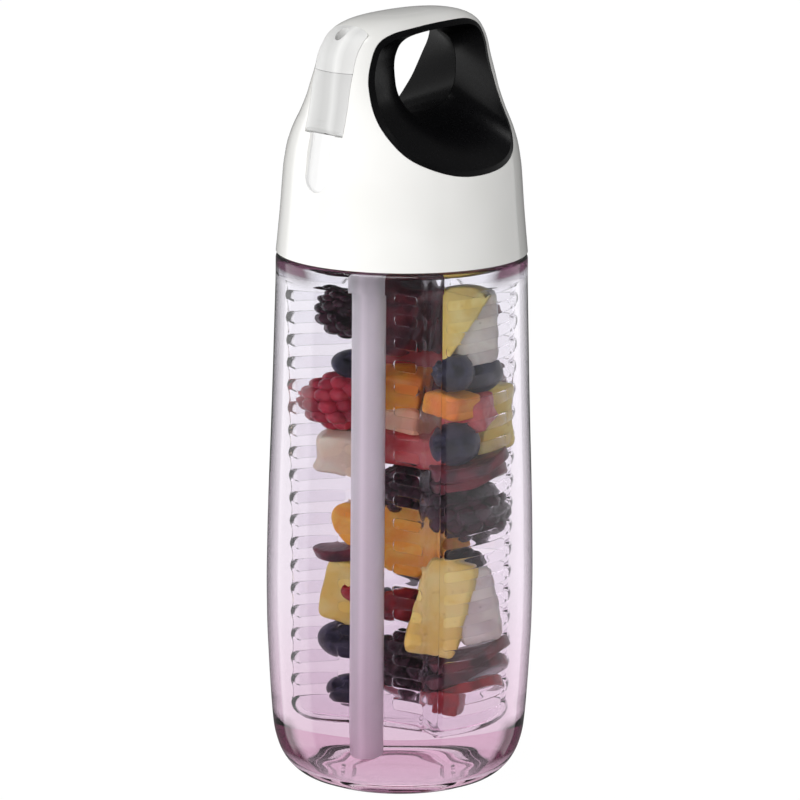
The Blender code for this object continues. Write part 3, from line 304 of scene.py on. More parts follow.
@dataclass(frozen=True)
class ClearFinish(Finish):
    """Clear plastic whose tint changes with height."""

    low_tint: tuple[float, float, float]
    middle_tint: tuple[float, float, float]
    high_tint: tuple[float, float, float]
    index: float
    roughness: tuple[float, float] = (0.0, 0.02)
    heights: tuple[float, float] = (0.0, 160.0 * MM)
    bump_strength: float = 0.02
    coat: float = 0.0
    # Painted shade: a dark tint laid on the outline of the foot and of the shoulder.
    painted_corner_shade: tuple[float, float, float] | None = None
    foot_corner: tuple[float, ...] = (0.03, 0.06, 0.115, 0.14)
    foot_facing: tuple[float, float] = (0.42, 0.55)
    top_corner: tuple[float, ...] = (0.94, 0.965)
    top_facing: tuple[float, float] = (0.22, 0.38)

    def material(self, effects: Effects) -> bpy.types.Material:
        """Build the material."""
        material, tree, shader = self.start()
        share = tree.range(tree.axis(tree.place(), "Z"), self.heights, (0.0, 1.0))
        tint = tree.ramp(share, [(0.0, self.low_tint), (0.35, self.middle_tint),
                                 (1.0, self.high_tint)])
        if self.painted_corner_shade is not None:
            tint = self.with_painted_corner_shade(tree, tint, share)
        skin = self.skin(tree, effects, 500.0, 40.0)
        rough = tree.range(skin.outputs["Drift"], (0.35, 0.65), self.roughness)
        tree.feed(shader, {"Base Color": tint, "Coat Weight": self.coat, "Roughness": rough,
                           "Transmission Weight": 1.0, "IOR": self.index})
        self.bump(tree, shader, skin.outputs["Drift"], self.bump_strength, 0.3 * MM)
        return material

    def with_painted_corner_shade(self, tree: Tree, tint: bpy.types.NodeSocket,
                     share: bpy.types.NodeSocket) -> bpy.types.NodeSocket:
        """Paint dark shade at the outline of the foot and of the shoulder.

        Args:
            tree: The material's nodes.
            tint: Colour elsewhere.
            share: Height as a share of the body.

        Returns:
            The colour with its corners.
        """
        # Painted shade: dark at grazing outlines near the foot and shoulder, for camera rays only.
        facing = tree.node("ShaderNodeLayerWeight", {"Blend": 0.5}).outputs["Facing"]
        low, lowest, highest, high = self.foot_corner
        foot = tree.ramp(share, [(low, BLACK), (lowest, WHITE), (highest, WHITE), (high, BLACK)])
        top = tree.ramp(share, [(self.top_corner[0], BLACK), (self.top_corner[1], WHITE)])
        both = tree.math("ADD", *(
            tree.math("MULTIPLY", level, tree.range(facing, limits, (0.0, 1.0), smooth=True))
            for level, limits in ((foot, self.foot_facing), (top, self.top_facing))))
        seen = tree.node("ShaderNodeLightPath").outputs["Is Camera Ray"]
        return tree.blend(tree.math("MULTIPLY", both, seen), tint, (*self.painted_corner_shade, 1.0))


@dataclass(frozen=True)
class FrostedFinish(Finish):
    """Cloudy plastic, thin in the middle and dense towards its outline, with a painted sheen that lightens
    its colour there.
    """

    colour: tuple[float, float, float]
    outline_sheen_colour: tuple[float, float, float]
    middle_alpha: float
    edge_alpha: float
    roughness: tuple[float, float] = (0.3, 0.42)
    painted_band_half_width: float = 0.0

    def material(self, effects: Effects) -> bpy.types.Material:
        """Build the material."""
        material, tree, shader = self.start()
        facing = tree.node("ShaderNodeLayerWeight", {"Blend": 0.45}).outputs["Facing"]
        # Painted sheen: the colour lightens towards the outline.
        colour = tree.ramp(facing, [(0.06, self.colour), (0.3, self.outline_sheen_colour),
                                    (0.7, self.outline_sheen_colour), (0.95, self.colour)])
        # Painted shade and highlight: upright bands across the width.
        if self.painted_band_half_width:
            colour = self.with_painted_bands(tree, colour)
        alpha = tree.range(facing, (0.15, 0.8), (self.middle_alpha, self.edge_alpha), smooth=True)
        skin = self.skin(tree, effects, 700.0, 90.0)
        rough = tree.range(skin.outputs["Grain"], (0.3, 0.7), self.roughness)
        tree.feed(shader, {"Base Color": colour, "Alpha": alpha, "Roughness": rough})
        self.bump(tree, shader, skin.outputs["Height"], 0.06, 0.1 * MM)
        return material

    def with_painted_bands(self, tree: Tree, colour: bpy.types.NodeSocket) -> bpy.types.NodeSocket:
        """Paint upright bands of shade and highlight across the piece, where the bore and the thick walls
        would darken and brighten it.
        """
        share = tree.range(tree.axis(tree.place(), "X"),
                           (-self.painted_band_half_width, self.painted_band_half_width), (0.0, 1.0))
        bands = tree.ramp(share, [(position, (shade,) * 3) for position, shade in (
            (0.0, 0.98), (0.16, 0.84), (0.40, 0.76), (0.55, 0.82), (0.66, 1.0), (0.80, 0.86),
            (1.0, 1.0))])
        return tree.blend(1.0, colour, bands, "MULTIPLY")


@dataclass(frozen=True)
class FruitFinish(Finish):
    """Skin or flesh of a fruit."""

    colour: tuple[float, float, float]
    second_colour: tuple[float, float, float]
    speck_colour: tuple[float, float, float] = (0.1, 0.03, 0.02)
    mottle: float = 160.0
    cells: float = 700.0
    specks: float = 0.15
    roughness: float = 0.35
    scatter: float = 0.2
    bump_strength: float = 0.25

    def material(self, effects: Effects) -> bpy.types.Material:
        """Build the material."""
        material, tree, shader = self.start()
        flesh = tree.node("ShaderNodeGroup", {
            "Colour": (*self.colour, 1.0), "Second Colour": (*self.second_colour, 1.0),
            "Speck Colour": (*self.speck_colour, 1.0), "Mottle Size": self.mottle,
            "Cell Size": self.cells, "Specks": self.specks}, node_tree=effects.flesh)
        tree.feed(shader, {
            "Base Color": flesh.outputs["Colour"], "Roughness": self.roughness,
            "Subsurface Weight": self.scatter, "Subsurface Radius": (1.0, 0.4, 0.25),
            "Subsurface Scale": 1.2 * MM})
        self.bump(tree, shader, flesh.outputs["Height"], self.bump_strength, 0.4 * MM)
        return material


class Finishes:
    """Every material of the bottle, built once."""

    def __init__(self) -> None:
        effects = Effects()
        clear = (0.975, 0.972, 0.985)
        foot = (0.66, 0.42, 0.54)
        high_water = (0.90, 0.89, 0.93)
        # The body's dark corner tint is painted shade on the outlines of its foot and shoulder.
        self.body = ClearFinish(
            "clear_body_plastic", (0.95, 0.90, 0.94), clear, clear, 1.5,
            painted_corner_shade=(0.035, 0.006, 0.016)).material(effects)
        self.foot = ClearFinish(
            "clear_foot_plastic", foot, foot, foot, 1.14).material(effects)
        self.wet_wall = ClearFinish(
            "wet_inner_wall", (0.72, 0.52, 0.64), (0.82, 0.72, 0.81), high_water,
            1.128).material(effects)
        self.wet_shoulder = ClearFinish(
            "wet_shoulder", high_water, high_water, high_water, 1.01).material(effects)
        self.basket = ClearFinish(
            "clear_basket_plastic", (0.93, 0.90, 0.93), (0.95, 0.93, 0.96), (0.96, 0.96, 0.98),
            1.055, roughness=(0.0, 0.05), bump_strength=0.05, coat=0.3).material(effects)
        self.white = PlasticFinish(
            "white_cap_plastic", (0.86, 0.855, 0.835), (0.83, 0.825, 0.80), (0.10, 0.15),
            coat=0.15, bump_strength=0.03, specular=0.3).material(effects)
        # Painted shade: the white cap plastic greyed for the recess of the thumb groove.
        self.groove = PlasticFinish(
            "white_plastic_painted_groove_shade", (0.80, 0.80, 0.795), (0.76, 0.76, 0.76), (0.12, 0.18),
            coat=0.4, bump_strength=0.03).material(effects)
        self.core = PlasticFinish(
            "white_core_plastic", (0.82, 0.82, 0.80), (0.78, 0.78, 0.76), (0.38, 0.5)
        ).material(effects)
        self.black = PlasticFinish(
            "black_liner_plastic", (0.0045, 0.0045, 0.005), (0.003, 0.003, 0.0035), (0.26, 0.34),
            bump_strength=0.06, specular=0.13).material(effects)
        # Spout, tip and straw carry painted upright bands of shade and highlight across their width.
        self.spout = FrostedFinish(
            "frosted_spout_plastic", (0.84, 0.835, 0.83), (0.88, 0.88, 0.87), 0.72, 0.95,
            painted_band_half_width=7.8 * MM
        ).material(effects)
        self.tip = FrostedFinish(
            "soft_tip_rubber", (0.86, 0.855, 0.845), (0.90, 0.90, 0.89), 0.82, 0.97,
            roughness=(0.4, 0.5), painted_band_half_width=7.8 * MM).material(effects)
        self.straw = FrostedFinish(
            "frosted_straw_plastic", (0.88, 0.80, 0.87), (0.90, 0.86, 0.91), 0.74, 0.95,
            painted_band_half_width=4.5 * MM
        ).material(effects)
        self.duct = FrostedFinish(
            "frosted_duct_plastic", (0.84, 0.84, 0.85), (0.92, 0.92, 0.93), 0.7, 0.95
        ).material(effects)
        self.seal = PlasticFinish(
            "soft_seal_rubber", (0.78, 0.79, 0.80), (0.72, 0.73, 0.74), (0.5, 0.62)
        ).material(effects)
        self.steel = PlasticFinish(
            "hinge_pin_steel", (0.62, 0.62, 0.63), (0.5, 0.5, 0.51), (0.25, 0.38), grain=2500.0,
            metallic=1.0).material(effects)
        self.effects = effects


# Shape building


def clamped(value: float) -> float:
    """Limit a value to the range from 0 to 1."""
    return min(max(value, 0.0), 1.0)


def stretched(point: Vector, size: Vector) -> Vector:
    """Stretch a point along each axis."""
    return Vector((point.x * size.x, point.y * size.y, point.z * size.z))


def between(a: Vector, b: Vector, c: Vector, d: Vector, t: float) -> Vector:
    """Point at share t from b to c of a smooth curve through four points."""
    return 0.5 * (2 * b + (c - a) * t + (2 * a - 5 * b + 4 * c - d) * t ** 2
                  + (3 * b - a - 3 * c + d) * t ** 3)


def round_edges(bm: bmesh.types.BMesh, edges: list, offset: float, segments: int = 3) -> None:
    """Bevel edges of a mesh."""
    bmesh.ops.bevel(bm, geom=edges, offset=offset, segments=segments, profile=0.5,
                    affect="EDGES", offset_type="OFFSET", material=-1)


class Curve:
    """Smooth curve through (position, value) points that never overshoots them."""

    def __init__(self, points: Iterable[tuple[float, float]]) -> None:
        self.points = list(points)
        slopes = [(b[1] - a[1]) / (b[0] - a[0]) for a, b in zip(self.points, self.points[1:])]
        self.tangents = [slopes[0]]
        for before, after in zip(slopes, slopes[1:]):
            same_way = before * after > 0.0
            self.tangents.append(2.0 * before * after / (before + after) if same_way else 0.0)
        self.tangents.append(slopes[-1])

    def at(self, position: float) -> float:
        """Read the curve at a position."""
        low = 0
        while low < len(self.points) - 2 and position > self.points[low + 1][0]:
            low += 1
        (start, first), (end, second) = self.points[low:low + 2]
        span = end - start
        t = clamped((position - start) / span)
        value = (2 * t ** 3 - 3 * t ** 2 + 1) * first + (3 * t ** 2 - 2 * t ** 3) * second
        return value + span * ((t ** 3 - 2 * t ** 2 + t) * self.tangents[low]
                               + (t ** 3 - t ** 2) * self.tangents[low + 1])


def rounded(cosine: float, power: float) -> float:
    """Coordinate of a rounded-box outline for a circle's coordinate."""
    return math.copysign(abs(cosine) ** (2.0 / power), cosine)


def closed_spline(points: list[tuple[float, float]], steps: int) -> list[Vector]:
    """Read a closed smooth curve through 2-D points, with steps to each span."""
    count = len(points)
    curve = []
    for index in range(count):
        a, b, c, d = (Vector(points[(index + k) % count]) for k in (-1, 0, 1, 2))
        curve += [between(a, b, c, d, step / steps) for step in range(steps)]
    return curve


def offset_outline(outline: list[Vector], distance: float) -> list[Vector]:
    """Move a closed counter-clockwise outline outwards, with mitred corners."""
    count = len(outline)
    moved = []
    for index, point in enumerate(outline):
        before = point - outline[index - 1]
        after = outline[(index + 1) % count] - point
        normal_before = Vector((before.y, -before.x)).normalized()
        normal_after = Vector((after.y, -after.x)).normalized()
        middle = (normal_before + normal_after).normalized()
        moved.append(point + middle * (distance / max(middle.dot(normal_after), 0.5)))
    return moved


class Loft:
    """Skin of closed rings, each extruded from the last and moved into place."""

    def __init__(self, count: int) -> None:
        self.bm = bmesh.new()
        self.step = self.bm.verts.layers.int.new("step")
        made = bmesh.ops.create_circle(self.bm, segments=count, radius=1.0, cap_ends=False)
        self.ring = list(made["verts"])
        for step, vert in enumerate(self.ring):
            vert[self.step] = step
        self.edges = list(self.bm.edges)
        self.first_edges: list[bmesh.types.BMEdge] = []

    def add(self, place: Callable[[int], Vector]) -> None:
        """Add a ring, placed point by point."""
        if self.first_edges:
            grown = bmesh.ops.extrude_edge_only(self.bm, edges=self.edges)["geom"]
            self.ring = [part for part in grown if isinstance(part, bmesh.types.BMVert)]
            fresh = set(self.ring)
            self.edges = [part for part in grown if isinstance(part, bmesh.types.BMEdge)
                          and all(vert in fresh for vert in part.verts)]
        else:
            self.first_edges = list(self.edges)
        for vert in self.ring:
            vert.co = place(vert[self.step])

    def close_ends(self) -> bmesh.types.BMesh:
        """Fill both ends and return the mesh."""
        bmesh.ops.edgeloop_fill(self.bm, edges=self.first_edges)
        bmesh.ops.edgeloop_fill(self.bm, edges=self.edges)
        return self.done()

    def close_round(self) -> bmesh.types.BMesh:
        """Join the last ring to the first and return the mesh."""
        bmesh.ops.bridge_loops(self.bm, edges=self.first_edges + self.edges)
        return self.done()

    def done(self) -> bmesh.types.BMesh:
        """Return the mesh with its faces turned outwards."""
        bmesh.ops.recalc_face_normals(self.bm, faces=self.bm.faces)
        return self.bm


def turned(profile: list[tuple[float, float]], segments: int, centre: Vector | None = None,
           closed: bool = True) -> bmesh.types.BMesh:
    """Spin a (radius, height) profile round the vertical axis.

    Args:
        profile: Points of the section, in order.
        segments: Steps of the full turn.
        centre: Place of the axis; the origin when it is left out.
        closed: Whether the last point joins the first.

    Returns:
        The turned mesh.
    """
    bm = bmesh.new()
    verts = [bm.verts.new((radius, 0.0, height)) for radius, height in profile]
    for first, second in zip(verts, verts[1:]):
        bm.edges.new((first, second))
    if closed:
        bm.edges.new((verts[-1], verts[0]))
    bmesh.ops.spin(bm, geom=list(bm.verts) + list(bm.edges), axis=(0.0, 0.0, 1.0),
                   cent=(0.0, 0.0, 0.0), angle=math.tau, steps=segments, use_merge=True)
    bmesh.ops.remove_doubles(bm, verts=bm.verts, dist=0.002 * MM)
    bmesh.ops.recalc_face_normals(bm, faces=bm.faces)
    if centre is not None:
        bmesh.ops.translate(bm, verts=bm.verts, vec=centre)
    return bm


def rod(start: Vector, end: Vector, radius: float, segments: int = 48) -> bmesh.types.BMesh:
    """Make a straight rod between two points."""
    bm = bmesh.new()
    line = end - start
    turn = Vector((0.0, 0.0, 1.0)).rotation_difference(line.normalized()).to_matrix().to_4x4()
    bmesh.ops.create_cone(bm, cap_ends=True, segments=segments, radius1=radius, radius2=radius,
                          depth=line.length,
                          matrix=Matrix.Translation((start + end) / 2) @ turn)
    return bm


def prism(outline: list[tuple[float, float]], half_width: float) -> bmesh.types.BMesh:
    """Make a solid of a (y, z) outline between two planes of constant X."""
    loft = Loft(len(outline))
    for x in (-half_width, half_width):
        loft.add(lambda step, x=x: Vector((x, *outline[step])))
    return loft.close_ends()


class Bench:
    """Turns meshes into pieces and cuts them with each other."""

    @staticmethod
    def piece(name: str, bm: bmesh.types.BMesh) -> bpy.types.Object:
        """Make a smooth-shaded object of a mesh."""
        mesh = bpy.data.meshes.new(name)
        bm.to_mesh(mesh)
        bm.free()
        mesh.shade_smooth()
        obj = bpy.data.objects.new(name, mesh)
        bpy.context.scene.collection.objects.link(obj)
        return obj

    @staticmethod
    def carve(target: bpy.types.Object, tool: bmesh.types.BMesh | bpy.types.Object,
              how: Cut = Cut.REMOVE) -> bpy.types.Object:
        """Change a piece by a solid and keep the result as its mesh.

        Args:
            target: The piece.
            tool: A mesh, which is used up, or an object, which stays.
            how: The kind of cut.

        Returns:
            The piece.
        """
        own = isinstance(tool, bmesh.types.BMesh)
        helper = Bench.piece("cutter", tool) if own else tool
        modifier = target.modifiers.new("cut", "BOOLEAN")
        modifier.object = helper
        modifier.operation = how.value
        modifier.solver = "EXACT"
        bpy.context.view_layer.update()
        shaped = bpy.data.meshes.new_from_object(
            target.evaluated_get(bpy.context.evaluated_depsgraph_get()))
        target.modifiers.clear()
        old = target.data
        target.data = shaped
        bpy.data.meshes.remove(old)
        if own:
            data = helper.data
            bpy.data.objects.remove(helper)
            bpy.data.meshes.remove(data)
        return target

    @staticmethod
    def crisp(obj: bpy.types.Object, angle: float = SMOOTH_ANGLE) -> bpy.types.Object:
        """Shade a piece smooth with sharp edges above an angle."""
        obj.data.shade_smooth()
        obj.data.set_sharp_from_angle(angle=angle)
        return obj

    @staticmethod
    def soften(obj: bpy.types.Object, width: float, segments: int = 2,
               angle: float = SMOOTH_ANGLE) -> bpy.types.Object:
        """Round the edges of a piece that are sharper than an angle."""
        bevel = obj.modifiers.new("edge rounding", "BEVEL")
        bevel.width = width
        bevel.segments = segments
        bevel.limit_method = "ANGLE"
        bevel.angle_limit = angle
        return obj

    @staticmethod
    def subdivide(obj: bpy.types.Object, levels: int) -> bpy.types.Object:
        """Smooth a piece by subdivision."""
        modifier = obj.modifiers.new("smooth form", "SUBSURF")
        modifier.levels = levels
        modifier.render_levels = levels
        return obj


def settle(obj: bpy.types.Object, body: Body, material: bpy.types.Material,
           slot: Slot | None = None, nodes: Iterable[str] = ()) -> bpy.types.Object:
    """Give a piece its material and its body, and hide the CAD nodes that it stands for."""
    if not obj.data.materials:
        obj.data.materials.append(material)
    else:
        obj.data.materials[0] = material
    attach(obj, body.value)
    if nodes:
        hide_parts(*nodes)
    return obj


def repaint(node: str, material: bpy.types.Material) -> None:
    """Give a carried-over CAD node its material."""
    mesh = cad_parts[node].data
    mesh.materials.clear()
    mesh.materials.append(material)


def report(piece: str, obj: bpy.types.Object) -> None:
    """Log one finished piece."""
    LOG.info("%s: %d faces", piece, len(obj.data.polygons))


# Bottle body


@dataclass(frozen=True)
class BottleSizes:
    """Sizes of the clear body."""

    belly_radius: float = 39.3 * MM
    shoulder_height: float = 157.6 * MM
    wall: float = 2.2 * MM
    base_thickness: float = 6.0 * MM
    foot_outer: float = 24.5 * MM
    foot_inner: float = 21.5 * MM
    punt_radius: float = 18.4 * MM
    punt_depth: float = 2.6 * MM
    punt_ring_radius: float = 11.2 * MM
    punt_ring_width: float = 1.6 * MM
    punt_ring_drop: float = 0.8 * MM
    floor_radius: float = 23.5 * MM
    corner_height: float = 13.5 * MM
    corner_power: float = 1.15
    shoulder_round: float = 1.6 * MM
    shoulder_thickness: float = 3.0 * MM
    neck_radius: float = 29.4 * MM
    neck_wall: float = 2.8 * MM
    neck_height: float = 18.0 * MM
    thread_pitch: float = 6.0 * MM
    thread_height: float = 1.2 * MM
    thread_width: float = 1.7 * MM
    thread_rise: float = 6.0 * MM
    thread_turns: float = 1.25
    water_level: float = 168.0 * MM
    foot_level: float = 4.5 * MM
    foot_slope: float = 0.4
    shoulder_level: float = 151.0 * MM
    lip: float = 0.6 * MM
    punt_edge: float = 1.0 * MM
    punt_low: float = 0.5 * MM
    punt_high: float = 2.1 * MM
    crowding: float = 1.8
    segments: int = 160
    wall_steps: int = 90
    outline_shares: tuple = (
        (0.003, 0.655), (0.010, 0.727), (0.023, 0.800), (0.041, 0.862), (0.064, 0.908),
        (0.097, 0.942), (0.152, 0.963), (0.228, 0.982), (0.305, 0.996), (0.381, 1.000),
        (0.476, 0.995), (0.571, 0.985), (0.666, 0.972), (0.761, 0.960), (0.857, 0.950),
        (0.952, 0.940))


class Bottle:
    """Clear body, with the water drawn by the tint and index of its wet inner wall."""

    def __init__(self, sizes: BottleSizes, finishes: Finishes) -> None:
        self.sizes = sizes
        self.finishes = finishes
        self.outline = Curve([(height * sizes.shoulder_height, radius * sizes.belly_radius)
                              for height, radius in sizes.outline_shares])

    def outer_section(self) -> list[tuple[float, float]]:
        """Outside of the body from the rim of the neck down to the middle of the base."""
        s = self.sizes
        shoulder = self.outline.at(s.shoulder_height)
        rim = s.shoulder_height + s.neck_height
        lip = s.lip
        section = [(s.neck_radius - s.neck_wall + lip, rim), (s.neck_radius - lip, rim),
                   (s.neck_radius, rim - lip), (s.neck_radius, s.shoulder_height + lip),
                   (s.neck_radius + lip, s.shoulder_height)]
        for step in range(7):
            angle = math.pi / 2 * step / 6
            section.append((shoulder - s.shoulder_round * (1.0 - math.sin(angle)),
                            s.shoulder_height - s.shoulder_round * (1.0 - math.cos(angle))))
        top = s.shoulder_height - 2.0 * s.shoulder_round
        bottom = s.outline_shares[0][0] * s.shoulder_height
        for step in range(s.wall_steps + 1):
            share = (1.0 - step / s.wall_steps) ** s.crowding
            height = bottom + (top - bottom) * share
            section.append((self.outline.at(height), height))
        ring_outer = s.punt_ring_radius + s.punt_ring_width / 2
        ring_inner = s.punt_ring_radius - s.punt_ring_width / 2
        ring_height = s.punt_depth - s.punt_ring_drop
        section += [(s.foot_outer, 0.0), (s.foot_inner, 0.0),
                    (s.foot_inner - s.punt_edge, s.punt_low),
                    (s.punt_radius + s.punt_edge, s.punt_high),
                    (s.punt_radius, s.punt_depth), (ring_outer + s.punt_ring_drop, s.punt_depth),
                    (ring_outer, ring_height), (ring_inner, ring_height),
                    (ring_inner - s.punt_ring_drop, s.punt_depth), (0.0, s.punt_depth)]
        return section

    def inner_section(self) -> list[tuple[float, float]]:
        """Inside of the body from the middle of the floor up to the bore of the neck."""
        s = self.sizes
        corner_top = s.base_thickness + s.corner_height
        corner_radius = self.outline.at(corner_top) - s.wall
        section = [(0.0, s.base_thickness), (s.floor_radius, s.base_thickness)]
        for step in range(1, 17):
            angle = math.pi / 2 * step / 16
            out, down = (rounded(part, s.corner_power) for part in
                         (math.sin(angle), math.cos(angle)))
            section.append((s.floor_radius + (corner_radius - s.floor_radius) * out,
                            corner_top - s.corner_height * down))
        turn = s.shoulder_height - s.shoulder_thickness - s.shoulder_round
        for step in range(1, s.wall_steps // 2):
            height = corner_top + (turn - s.shoulder_round - corner_top) * step / (
                s.wall_steps // 2 - 1)
            section.append((self.outline.at(height) - s.wall, height))
        bore = s.neck_radius - s.neck_wall
        edge = self.outline.at(turn) - s.wall
        section += [(edge - 0.4 * s.shoulder_round, turn - 0.1 * s.shoulder_round),
                    (edge - 1.3 * s.shoulder_round, turn + 0.5 * s.shoulder_round),
                    (bore + s.shoulder_round, s.shoulder_height - s.shoulder_round),
                    (bore + 0.2 * s.shoulder_round, s.shoulder_height),
                    (bore, s.shoulder_height + s.shoulder_round)]
        return section

    def build(self) -> bpy.types.Object:
        """Turn the body and add its screw thread."""
        s = self.sizes
        body = Bench.piece("bottle_clear_body", turned(
            self.outer_section() + self.inner_section(), s.segments))
        Bench.carve(body, self.thread(), Cut.JOIN)
        Bench.crisp(body, BODY_SMOOTH_ANGLE)
        return body

    def thread(self) -> bmesh.types.BMesh:
        """Helical ridge of the neck."""
        s = self.sizes
        loft = Loft(12)
        steps = round(72 * s.thread_turns)
        for index in range(steps + 1):
            turn = math.tau * s.thread_turns * index / steps
            fade = min(1.0, 8.0 * min(index, steps - index) / steps)
            height = s.thread_height * (0.25 + 0.75 * math.sin(fade * math.pi / 2))
            centre = s.shoulder_height + s.thread_rise + s.thread_pitch * turn / math.tau

            def place(step: int, turn=turn, height=height, centre=centre) -> Vector:
                angle = math.tau * step / 12
                radius = s.neck_radius + height * rounded(math.cos(angle), 3.0)
                z = centre + s.thread_width / 2 * rounded(math.sin(angle), 2.4)
                return Vector((radius * math.cos(turn), radius * math.sin(turn), z))
            loft.add(place)
        return loft.close_ends()

    def dress(self, body: bpy.types.Object) -> None:
        """Give the dry plastic and the wet inner wall their materials."""
        s = self.sizes
        settle(body, Body.BOTTLE, self.finishes.body, Slot.CLEAR_BODY, ["bottle_body"])
        for finish in (self.finishes.wet_wall, self.finishes.wet_shoulder, self.finishes.foot):
            body.data.materials.append(finish)
        for face in body.data.polygons:
            height = face.center.z
            radius = math.hypot(face.center.x, face.center.y)
            limit = s.neck_radius if height > s.shoulder_height - 4.0 * FINE_GAP \
                else self.outline.at(height)
            inside = height > s.base_thickness - FINE_GAP and radius < limit - 0.6 * s.wall
            if inside and height < s.water_level:
                face.material_index = 1 if height < s.shoulder_level else 2
            elif height < s.foot_level and face.normal.z < -s.foot_slope:
                face.material_index = 3
        report("body", body)


# Cap


@dataclass(frozen=True)
class CapSizes:
    """Sizes of the cap, its loop and its spout."""

    foot: float = 158.2 * MM
    height: float = 70.6 * MM
    skirt_radius: float = 36.9 * MM
    skirt_wall: float = 1.8 * MM
    cavity_top: float = 180.7 * MM
    cavity_draft: float = 2.1 * MM
    tilt_slope: float = 0.02
    tilt_shares: tuple[float, float] = (0.59, 0.94)
    outline_shares: tuple = (
        (0.000, 1.000, 1.000, 2.00), (0.170, 0.970, 0.970, 2.00), (0.340, 0.946, 0.946, 2.00),
        (0.395, 0.930, 0.936, 2.00), (0.450, 0.898, 0.924, 2.02), (0.485, 0.862, 0.912, 2.05),
        (0.521, 0.818, 0.894, 2.10), (0.556, 0.765, 0.876, 2.15), (0.592, 0.705, 0.859, 2.20),
        (0.663, 0.591, 0.835, 2.35), (0.733, 0.499, 0.821, 2.50), (0.804, 0.434, 0.805, 2.50),
        (0.853, 0.404, 0.791, 2.50), (0.896, 0.377, 0.759, 2.50), (0.938, 0.347, 0.699, 2.50),
        (0.971, 0.298, 0.596, 2.40), (0.991, 0.222, 0.447, 2.30), (1.000, 0.114, 0.230, 2.20))
    rim_centre: tuple[float, float] = (-1.5 * MM, 205.8 * MM)
    rim_half: tuple[float, float] = (24.2 * MM, 20.7 * MM)
    rim_shares: tuple = (
        (-1.00, -0.13), (-0.97, 0.30), (-0.83, 0.72), (-0.60, 0.90), (-0.18, 0.97), (0.31, 1.00),
        (0.74, 0.98), (0.96, 0.86), (1.02, 0.62), (0.99, 0.30), (0.96, -0.13), (0.91, -0.50),
        (0.74, -0.77), (0.47, -0.92), (0.10, -0.99), (-0.28, -0.99), (-0.58, -0.90),
        (-0.83, -0.73), (-0.96, -0.47))
    throat_centre: tuple[float, float] = (7.2 * MM, 210.6 * MM)
    throat_half: tuple[float, float] = (14.2 * MM, 12.1 * MM)
    throat_power: float = 2.5
    flare_power: float = 1.5
    front_flare_power: float = 2.4
    back_flare_power: float = 1.0
    liner_wall: float = 1.5 * MM
    segments: int = 176
    loop_segments: int = 160
    flare_steps: int = 18


